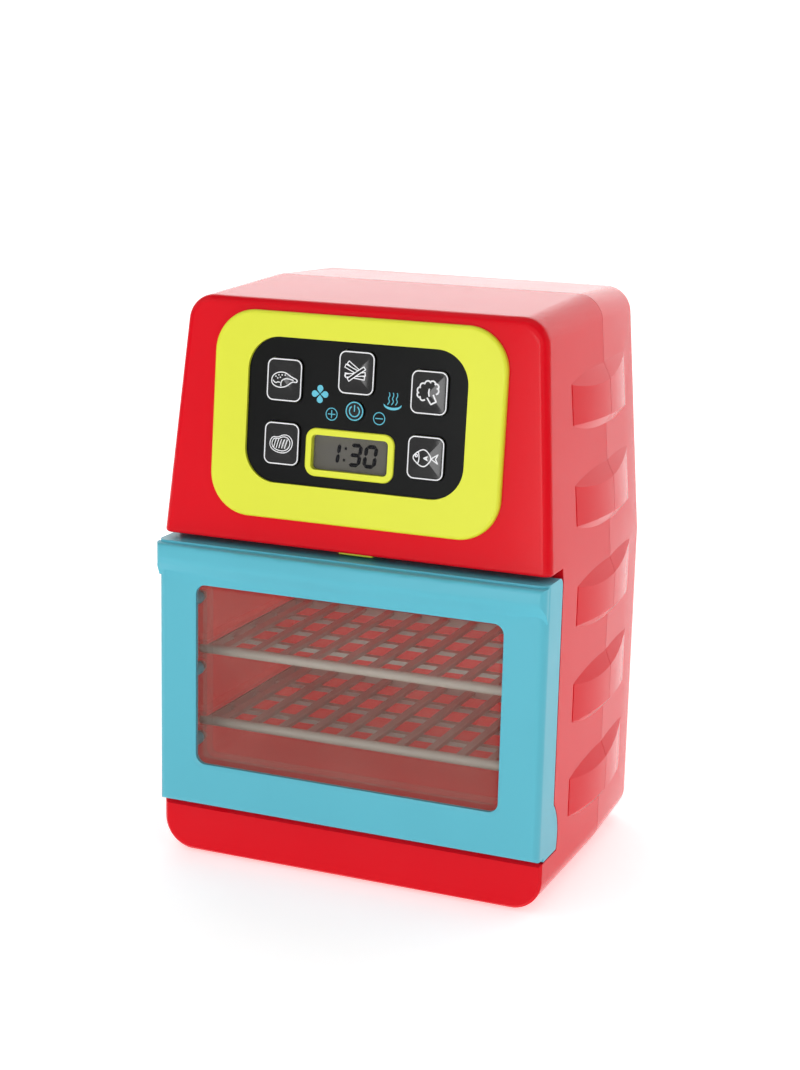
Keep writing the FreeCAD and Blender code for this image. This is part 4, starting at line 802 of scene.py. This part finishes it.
@dataclass
class Panel:
    """The lime bezel, the black plate, the keys with their printing, and the display."""

    line: float = 0.42
    fine_line: float = 0.32
    ink: float = 0.09
    ring_inset: float = 0.35
    ring_corner: float = 2.3
    key_width: float = 12.6
    key_height: float = 14.0
    crown_margin: float = 1.2
    crown_peak: float = 0.7
    out: Vector = field(default_factory=lambda: Vector((0, -1, 0)))
    up: Vector = field(default_factory=lambda: Vector((0, 0, 1)))

    def build(self, joints: Sequence[dict]) -> None:
        """Builds the whole panel.

        Args:
            joints: the frame's joints, which hold the keys' direction.
        """
        press = next(j for j in joints if j["name"] == "sticks_key_press")
        self.out = -Vector(press["axis"]).normalized()
        self.up = self.out.cross(Vector((1, 0, 0))).normalized()
        dress_node("control_bezel", Finish.LIME, "casing", "lime_plastic")
        dress_node("panel_plate", Finish.BLACK, "casing", "black_gloss")
        dress_node("display_module", Finish.DISPLAY, "casing", "display_grey")
        dress_node("display_lens", Finish.LENS, "casing", "clear_lens")
        dress_node("power_button", Finish.KEY, "power_button", "black_gloss")
        for symbol in Symbol:
            dress_node(symbol.value, Finish.KEY, symbol.value, "black_gloss", 8.0)
            self.print_key(symbol)
        self.print_power()
        self.print_plate()
        self.print_display()

    def plane_on(self, node: str) -> Plane:
        """The outer face of a node.

        Args:
            node: the node's name.

        Returns:
            A plane at the middle of its face.
        """
        low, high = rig.box(node)
        low_up, high_up = span(node, self.up)
        face = span(node, self.out)[1]
        across = Vector((1, 0, 0)) * ((low.x + high.x) / 2)
        return Plane(across + self.up * ((low_up + high_up) / 2) + self.out * face, self.up, self.out)

    def crown(self, x: float, y: float) -> float:
        """Height of a key's faceted crown below its peak, at a place on the key."""
        wide = self.key_width / 2 - self.crown_margin
        tall = self.key_height / 2 - self.crown_margin
        share = max(abs(x) / wide, abs(y) / tall)
        return -self.crown_peak * min(1.0, share)

    def print_key(self, symbol: Symbol) -> None:
        """Prints a key's outline and its food.

        Args:
            symbol: which key.
        """
        plane = self.plane_on(symbol.value)
        wide = self.key_width - self.ring_inset
        tall = self.key_height - self.ring_inset
        ring = rounded_ring(wide, tall, self.ring_corner, self.line)
        made = stroke_mesh(ring, self.line, self.ink)
        lay_on(made, plane, self.crown)
        name = symbol.value.replace("_key", "")
        finish_mesh(name + "_ring", made, Finish.WHITE_INK, symbol.value, "black_gloss")
        if symbol is Symbol.STICKS:
            drawing = Sticks().layers(core=False)
            cores = Sticks().layers(core=True)
            lay_on(cores, plane, self.crown)
            finish_mesh(name + "_cores", cores, Finish.BLACK_INK, symbol.value, "black_gloss")
        else:
            line = LINES.get(symbol, self.fine_line)
            drawing = stroke_mesh(food_strokes(symbol), line, self.ink)
        lay_on(drawing, plane, self.crown)
        finish_mesh(name + "_picture", drawing, Finish.WHITE_INK, symbol.value, "black_gloss")

    def print_power(self) -> None:
        """Prints the power sign on its button."""
        strokes = [
            Stroke(arc(0, 0, 2.9, 0, 345, 24), closed=True),
            Stroke(arc(0, 0, 1.75, 125, 415, 20)),
            Stroke([(0, -0.1), (0, 1.0), (0, 2.0)], curved=False),
        ]
        made = stroke_mesh(strokes, self.line, self.ink)
        lay_on(made, self.plane_on("power_button"))
        finish_mesh("power_sign", made, Finish.TEAL_INK, "power_button", "black_gloss")

    def print_plate(self) -> None:
        """Prints the fan, steam, plus and minus signs on the black plate."""
        plate = self.plane_on("panel_plate")
        power = self.plane_on("power_button")
        centre = (power.origin - plate.origin).dot(self.up) / MM
        self.sign("plus_sign", circle_sign(True), plate, (-8.3, centre - 1.7))
        self.sign("minus_sign", circle_sign(False), plate, (8.3, centre - 1.7))
        self.sign("steam_sign", steam_waves(), plate, (12.7, centre + 4.7))
        for name, made, x, rise in (
            ("bowl_sign", bowl_mesh(self.ink), 12.7, 3.1),
            ("fan_sign", fan_mesh(self.ink), -12.7, 4.4),
        ):
            self.place(made, plate, (x, centre + rise))
            finish_mesh(name, made, Finish.TEAL_INK, "casing", "black_gloss")

    def place(self, made: bmesh.types.BMesh, plane: Plane, where: Point) -> None:
        """Lays a drawing at a place on a plane."""
        bmesh.ops.translate(made, vec=(where[0], where[1], 0.0), verts=made.verts)
        lay_on(made, plane)

    def sign(self, name: str, strokes: list[Stroke], plane: Plane, where: Point) -> None:
        """Prints one teal sign on the plate.

        Args:
            name: the piece's name.
            strokes: its lines.
            plane: the plate's face.
            where: its place on the plate.
        """
        made = stroke_mesh(strokes, self.fine_line, self.ink)
        self.place(made, plane, where)
        finish_mesh(name, made, Finish.TEAL_INK, "casing", "black_gloss")

    def print_display(self) -> None:
        """Sets the digits of the time on the display's glass."""
        plane = self.plane_on("display_module")
        made = bmesh.new()
        for digit, x in ((1, -6.3), (3, 1.2), (0, 6.6)):
            add_digit(made, digit, x, 0.0)
        for y in (-1.9, 1.9):
            add_dot(made, -2.3 + 0.12 * y, y)
        raise_flat(made, 0.02)
        lay_on(made, plane)
        finish_mesh("display_digits", made, Finish.DIGIT, "casing", "display_grey")


def food_strokes(symbol: Symbol) -> list[Stroke]:
    """A plain line picture of one food.

    Args:
        symbol: which food.

    Returns:
        Its strokes, about nine millimetres wide.
    """
    if symbol is Symbol.POULTRY:
        body = [(-4.6, -0.7), (-4.2, 1.2), (-2.0, 2.5), (0.6, 2.5), (2.8, 1.0), (4.4, 0.5)]
        body += [(4.7, -0.1), (4.3, -0.6), (3.0, -0.3), (1.2, -2.0), (-1.4, -2.6), (-3.8, -1.9)]
        thigh = [(-0.9, -2.0), (-1.1, -0.7), (0.3, 0.5), (2.0, 0.5), (3.4, 0.1)]
        wing = [(-4.0, -0.3), (-3.0, -1.3), (-2.0, -0.6), (-1.3, -0.9)]
        pores = [Stroke(arc(x, y, 0.08, 0, 300, 5), closed=True) for x, y in PORES]
        return [Stroke(body, closed=True), Stroke(thigh), Stroke(wing), *pores]
    if symbol is Symbol.GREENS:
        return greens_strokes()
    if symbol is Symbol.POTATO:
        outline = [(-4.2, 0.2), (-3.2, 2.2), (-1.0, 2.0), (0.6, 3.0), (2.8, 2.9), (4.2, 0.9)]
        outline += [(3.5, -1.8), (1.3, -3.1), (-1.6, -2.8), (-3.8, -1.6)]
        cut = [(x * 0.8, y * 0.78) for x, y in outline]
        hatch = [Stroke([(x + 0.5, 1.5), (x, 0.0), (x - 0.4, -1.5)]) for x in HATCHES]
        return [Stroke(outline, closed=True), Stroke(cut, closed=True), *hatch]
    return fish_strokes()


PORES = ((-2.9, 1.0), (-1.8, 1.5), (-0.6, 1.6), (-2.2, 0.5), (0.5, 1.6), (-1.2, 0.8))
HATCHES = (-2.2, -1.2, -0.2, 0.8, 1.8)
LINES = {Symbol.GREENS: 0.52, Symbol.POULTRY: 0.38, Symbol.FISH: 0.4}


def turns(count: int) -> list[float]:
    """Evenly spaced angles round a full turn, in radians."""
    return [2 * math.pi * step / count for step in range(count)]


@dataclass
class Sticks:
    """Cut sticks laid over each other, each a white shape with a black core."""

    half_length: float = 3.6
    half_width: float = 0.68
    line: float = 0.3
    lift: float = 0.03
    step: float = 0.012
    places: tuple[tuple[float, float, float], ...] = (
        (-34.0, 0.0, 1.3),
        (-22.0, -0.6, 0.8),
        (-6.0, -0.4, -1.1),
        (8.0, -0.2, -0.6),
        (36.0, 0.2, -0.3),
    )

    def sheet(self, turn: float, x: float, y: float, inset: float, height: float) -> bmesh.types.BMesh:
        """One flat stick, divided so that it can follow the key's crown.

        Args:
            turn: its angle across the key, in degrees.
            x: its middle, across.
            y: its middle, up.
            inset: how far its outline is drawn in.
            height: its height over the key.

        Returns:
            The mesh, in millimetres.
        """
        made = bmesh.new()
        bmesh.ops.create_grid(made, x_segments=24, y_segments=6, size=1.0)
        size = (self.half_length - inset, self.half_width - inset, 1.0)
        bmesh.ops.scale(made, vec=size, verts=made.verts)
        bmesh.ops.rotate(made, matrix=Matrix.Rotation(math.radians(turn), 3, "Z"), verts=made.verts)
        bmesh.ops.translate(made, vec=(x, y, height), verts=made.verts)
        return made

    def layers(self, core: bool) -> bmesh.types.BMesh:
        """All the white shapes, or all the black cores, each over the stick before it.

        Args:
            core: whether the cores are wanted.

        Returns:
            One mesh, in millimetres.
        """
        joined = bmesh.new()
        for index, (turn, x, y) in enumerate(self.places):
            height = self.lift + self.step * (2 * index + (1 if core else 0))
            made = self.sheet(turn, x, y, self.line if core else 0.0, height)
            holder = bpy.data.meshes.new("sheet")
            made.to_mesh(holder)
            made.free()
            joined.from_mesh(holder)
            bpy.data.meshes.remove(holder)
        return joined


def greens_strokes() -> list[Stroke]:
    """A floret: a scalloped crown on a leaning stalk."""
    crown: list = []
    bumps = 8
    for step in range(bumps):
        middle = math.radians(-35 + 250 * step / (bumps - 1))
        centre = math.degrees(middle)
        place = (2.9 * math.cos(middle), 0.7 + 2.0 * math.sin(middle))
        crown += arc(*place, 1.05, centre - 75, centre + 75, 5)
    stalk = [(-1.1, -1.2), (-0.9, -3.6), (1.1, -3.6), (1.2, -1.2)]
    fork = [(-0.2, -1.2), (0.0, 0.2), (0.9, 1.0)]
    strokes = (Stroke(crown), Stroke(stalk, curved=False), Stroke(fork))
    lean = Matrix.Rotation(math.radians(28), 2)
    return [
        Stroke([tuple(lean @ Vector(point)) for point in stroke.points], curved=stroke.curved)
        for stroke in strokes
    ]


def fish_strokes() -> list[Stroke]:
    """A deep-bodied fish seen from the side."""
    body = [(-4.5, 0.0), (-3.0, 1.6), (-0.6, 3.0), (1.2, 1.8), (2.3, 0.0)]
    body += [(1.2, -1.8), (-0.6, -3.0), (-3.0, -1.6)]
    tail = [(2.2, 0.1), (4.3, 1.5), (3.5, 0.0), (4.3, -1.5), (2.2, -0.1)]
    gill = [(-2.4, 1.9), (-1.6, 0.0), (-2.4, -1.9)]
    fin = [(0.9, 0.6), (-0.4, 0.0), (0.9, -0.6), (0.4, 0.0)]
    eye = Stroke(arc(-3.0, 0.6, 0.42, 0, 300, 7), closed=True)
    closed = [Stroke(line, closed=True, curved=False) for line in (tail, fin)]
    return [Stroke(body, closed=True), *closed, Stroke(gill), eye]


def circle_sign(upright: bool) -> list[Stroke]:
    """A small ring with a minus sign, or with a plus sign if upright is true."""
    strokes = [Stroke(arc(0, 0, 1.95, 0, 345, 24), closed=True)]
    strokes.append(Stroke([(-1.3, 0), (0, 0), (1.3, 0)], curved=False))
    if upright:
        strokes.append(Stroke([(0, -1.3), (0, 0), (0, 1.3)], curved=False))
    return strokes


def steam_waves() -> list[Stroke]:
    """Three wavy lines side by side."""
    wave = ((-0.45, -1.7), (0.45, -0.7), (-0.35, 0.3), (0.4, 1.3), (0.0, 2.2))
    return [Stroke([(x + dx, y) for dx, y in wave]) for x in (-1.35, 0.0, 1.35)]


def flat_shape(made: bmesh.types.BMesh, points: Sequence[Point]) -> list[bmesh.types.BMVert]:
    """Adds one flat face from its outline.

    Args:
        made: the mesh that receives it.
        points: the outline, in millimetres.

    Returns:
        The face's corners.
    """
    verts = [made.verts.new((x, y, 0.0)) for x, y in points]
    made.faces.new(verts)
    return verts


def bowl_mesh(thick: float) -> bmesh.types.BMesh:
    """A crescent bowl, in millimetres.

    Args:
        thick: ink height.

    Returns:
        The mesh.
    """
    made = bmesh.new()
    under = [(3.1 * x, 1.75 * y) for x, y in arc(0, 0, 1, 178, 362, 16)]
    over = [(2.75 * x, 0.95 * y) for x, y in arc(0, 0, 1, 352, 188, 14)]
    flat_shape(made, under + over)
    raise_flat(made, thick / 2)
    return made


def fan_mesh(thick: float) -> bmesh.types.BMesh:
    """Four drop-shaped petals round a middle, with thin gaps between them, in millimetres.

    Args:
        thick: ink height.

    Returns:
        The mesh.
    """
    made = bmesh.new()
    for angle in turns(4):
        petal = flat_shape(made, [(0.0, 0.22), *arc(0, 1.85, 1.06, -28, 208, 16)])
        bmesh.ops.rotate(made, matrix=Matrix.Rotation(angle, 3, "Z"), verts=petal)
    raise_flat(made, thick / 2)
    return made


def raise_flat(made: bmesh.types.BMesh, thick: float) -> None:
    """Gives flat faces a thickness upwards and leaves them closed.

    Args:
        made: the mesh of flat faces.
        thick: the thickness.
    """
    faces = list(made.faces)
    grown = bmesh.ops.extrude_face_region(made, geom=faces, use_keep_orig=True)
    lifted = [item for item in grown["geom"] if isinstance(item, bmesh.types.BMVert)]
    bmesh.ops.translate(made, vec=(0, 0, thick), verts=lifted)
    bmesh.ops.recalc_face_normals(made, faces=made.faces)


SEGMENTS = {0: "abcdef", 1: "bc", 3: "abcdg"}


def add_digit(made: bmesh.types.BMesh, digit: int, x: float, y: float) -> None:
    """Adds one slanted seven-segment digit.

    Args:
        made: the mesh that receives it.
        digit: which digit.
        x: its middle, across the display.
        y: its middle, up the display.
    """
    tall = 7.7
    wide = 4.7
    bar = 1.3
    gap = 0.1
    arm = tall / 2 - bar / 2
    places = {
        "a": (0, arm, True),
        "g": (0, 0, True),
        "d": (0, -arm, True),
        "b": (wide / 2 - bar / 2, arm / 2, False),
        "c": (wide / 2 - bar / 2, -arm / 2, False),
        "f": (-wide / 2 + bar / 2, arm / 2, False),
        "e": (-wide / 2 + bar / 2, -arm / 2, False),
    }
    slant = Matrix(((1, 0.12, 0), (0, 1, 0), (0, 0, 1)))
    for letter in SEGMENTS[digit]:
        px, py, flat = places[letter]
        length = (wide - bar if flat else arm) - gap
        add_bar(made, length, bar, (px, py), flat, slant, (x, y))


def add_bar(
    made: bmesh.types.BMesh,
    length: float,
    bar: float,
    place: Point,
    flat: bool,
    slant: Matrix,
    shift: Point,
) -> None:
    """Adds one pointed bar of a digit.

    Args:
        made: the mesh that receives it.
        length: from point to point.
        bar: its width.
        place: its middle in the digit.
        flat: whether it lies across the digit.
        slant: the digit's shear.
        shift: the digit's place.
    """
    outline = bmesh.ops.create_circle(made, cap_ends=True, segments=6, radius=bar / 2)
    verts = outline["verts"]
    for vertex in verts:
        if abs(vertex.co.x) < 0.001 * bar:
            vertex.co.y = math.copysign(length / 2, vertex.co.y)
        else:
            vertex.co.x = math.copysign(bar / 2, vertex.co.x)
            vertex.co.y = math.copysign(length / 2 - bar / 2, vertex.co.y)
    if flat:
        bmesh.ops.rotate(made, matrix=Matrix.Rotation(math.pi / 2, 3, "Z"), verts=verts)
    bmesh.ops.translate(made, vec=(place[0], place[1], 0.03), verts=verts)
    for vertex in verts:
        vertex.co = slant @ vertex.co + Vector((shift[0], shift[1], 0))


def add_dot(made: bmesh.types.BMesh, x: float, y: float) -> None:
    """Adds one dot of the colon."""
    disc = bmesh.ops.create_circle(made, cap_ends=True, segments=12, radius=0.5)
    bmesh.ops.translate(made, vec=(x, y, 0.03), verts=disc["verts"])


@dataclass
class Studio:
    """A pale floor, a soft light tent and the camera."""

    camera_at: Vector = field(default_factory=lambda: Vector((0.2612, -0.6401, 0.2706)))
    azimuth: float = 22.375
    elevation: float = 13.12
    roll: float = 1.364
    focal_pixels: float = 2059.05
    frame_height: float = 1070.0
    sensor: float = 36.0
    floor_half: float = 3.0
    back_wall: float = 1.5
    front_wall: float = -3.6
    wall_height: float = 2.6
    sweep: float = 0.6

    def build(self) -> None:
        """Sets up the whole studio."""
        self.add_floor()
        self.add_light("left_light", (-0.9, -0.5, 0.8), 0.9, 1.9)
        self.add_light("right_light", (1.1, 0.1, 0.6), 0.9, 1.5)
        self.add_light("top_light", (0.0, -0.1, 1.3), 1.1, 2.0)
        self.add_light("front_light", (-0.115, -1.1, 0.12), 0.3, 1.7)
        self.add_world()
        self.add_camera()

    def add_floor(self) -> None:
        """Lays the pale floor, which sweeps up into a wall at the back and at the front."""
        made = bmesh.new()
        back = [(self.back_wall, self.wall_height)]
        back += [
            (self.back_wall - self.sweep + y, z)
            for y, z in arc(0.0, self.sweep, self.sweep, 0.0, -90.0, 12)
        ]
        front = [
            (self.front_wall + self.sweep + y, z)
            for y, z in arc(0.0, self.sweep, self.sweep, -90.0, -180.0, 12)
        ]
        front.append((self.front_wall, self.wall_height))
        across = (-self.floor_half, self.floor_half)
        rows = [[made.verts.new((x, y, z)) for y, z in back + front] for x in across]
        for left, right, far_right, far_left in zip(rows[0], rows[1], rows[1][1:], rows[0][1:]):
            made.faces.new((left, far_left, far_right, right)).smooth = True
        mesh = bpy.data.meshes.new("floor")
        made.to_mesh(mesh)
        made.free()
        graph = Graph("pale_floor")
        paper = graph.noise(30.0, 3.0)
        graph.set(Base_Color=graph.blend(paper, (0.9, 0.9, 0.9), (0.93, 0.93, 0.93)))
        depth = Value(graph, graph.node("SeparateXYZ", None, {0: graph.place}).outputs["Y"])
        back = graph.ramp(depth, 1.2, 1.5)
        light = graph.blend(back, (0.48, 0.48, 0.48), (1.0, 1.0, 1.0))
        graph.set(Roughness=0.85, Emission_Color=light, Emission_Strength=1.0)
        mesh.materials.append(graph.material)
        floor = bpy.data.objects.new("floor", mesh)
        bpy.context.scene.collection.objects.link(floor)
        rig.stage(floor)

    def add_light(self, name: str, place: Sequence[float], size: float, power: float) -> None:
        """Hangs one soft box that looks at the toy.

        Args:
            name: its name.
            place: where it hangs, in metres.
            size: its side.
            power: its power, in watts.
        """
        lamp = bpy.data.lights.new(name, "AREA")
        lamp.shape = "SQUARE"
        lamp.size = size
        lamp.energy = power
        holder = bpy.data.objects.new(name, lamp)
        holder.visible_camera = False
        bpy.context.scene.collection.objects.link(holder)
        holder.location = place
        aim = Vector((0, 0, 0.1)) - Vector(place)
        holder.rotation_euler = aim.to_track_quat("-Z", "Y").to_euler()

    def add_world(self) -> None:
        """Fills the room with even white light."""
        world = bpy.data.worlds.new("white_room")
        world.use_nodes = True
        sky = world.node_tree.nodes["Background"]
        sky.inputs["Color"].default_value = (1.0, 1.0, 1.0, 1.0)
        sky.inputs["Strength"].default_value = 0.25
        bpy.context.scene.world = world
        bpy.context.scene.view_settings.view_transform = "Standard"

    def add_camera(self) -> None:
        """Puts the camera where the photograph was taken from."""
        lens = bpy.data.cameras.new("camera")
        lens.sensor_width = self.sensor
        lens.lens = self.focal_pixels / self.frame_height * self.sensor
        holder = bpy.data.objects.new("camera", lens)
        bpy.context.scene.collection.objects.link(holder)
        turn = math.radians(self.azimuth)
        rise = math.radians(self.elevation)
        roll = math.radians(self.roll)
        back = Vector(
            (math.sin(turn) * math.cos(rise), -math.cos(turn) * math.cos(rise), math.sin(rise))
        )
        right = Vector((math.cos(turn), math.sin(turn), 0.0))
        up = back.cross(right)
        across = right * math.cos(roll) + up * math.sin(roll)
        upright = up * math.cos(roll) - right * math.sin(roll)
        turned = Matrix((across, upright, back)).transposed().to_4x4()
        holder.matrix_world = Matrix.Translation(self.camera_at) @ turned
        bpy.context.scene.camera = holder


def main() -> None:
    """Builds every sub-assembly and the studio."""
    logging.basicConfig(level=logging.INFO, format="%(message)s")
    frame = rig.load()
    cad_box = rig.bounds()
    Casing().build()
    Door().build()
    Racks().build()
    Panel().build(frame["joints"])
    Studio().build()
    visual_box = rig.bounds()
    with open("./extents.json", "w") as handle:
        boxes = {
            "cad": [list(corner) for corner in cad_box],
            "visual": [list(corner) for corner in visual_box],
        }
        json.dump(boxes, handle)
    LOG.info("box %s, dressed %s", boxes["cad"], boxes["visual"])


if __name__ == "__main__":
    main()
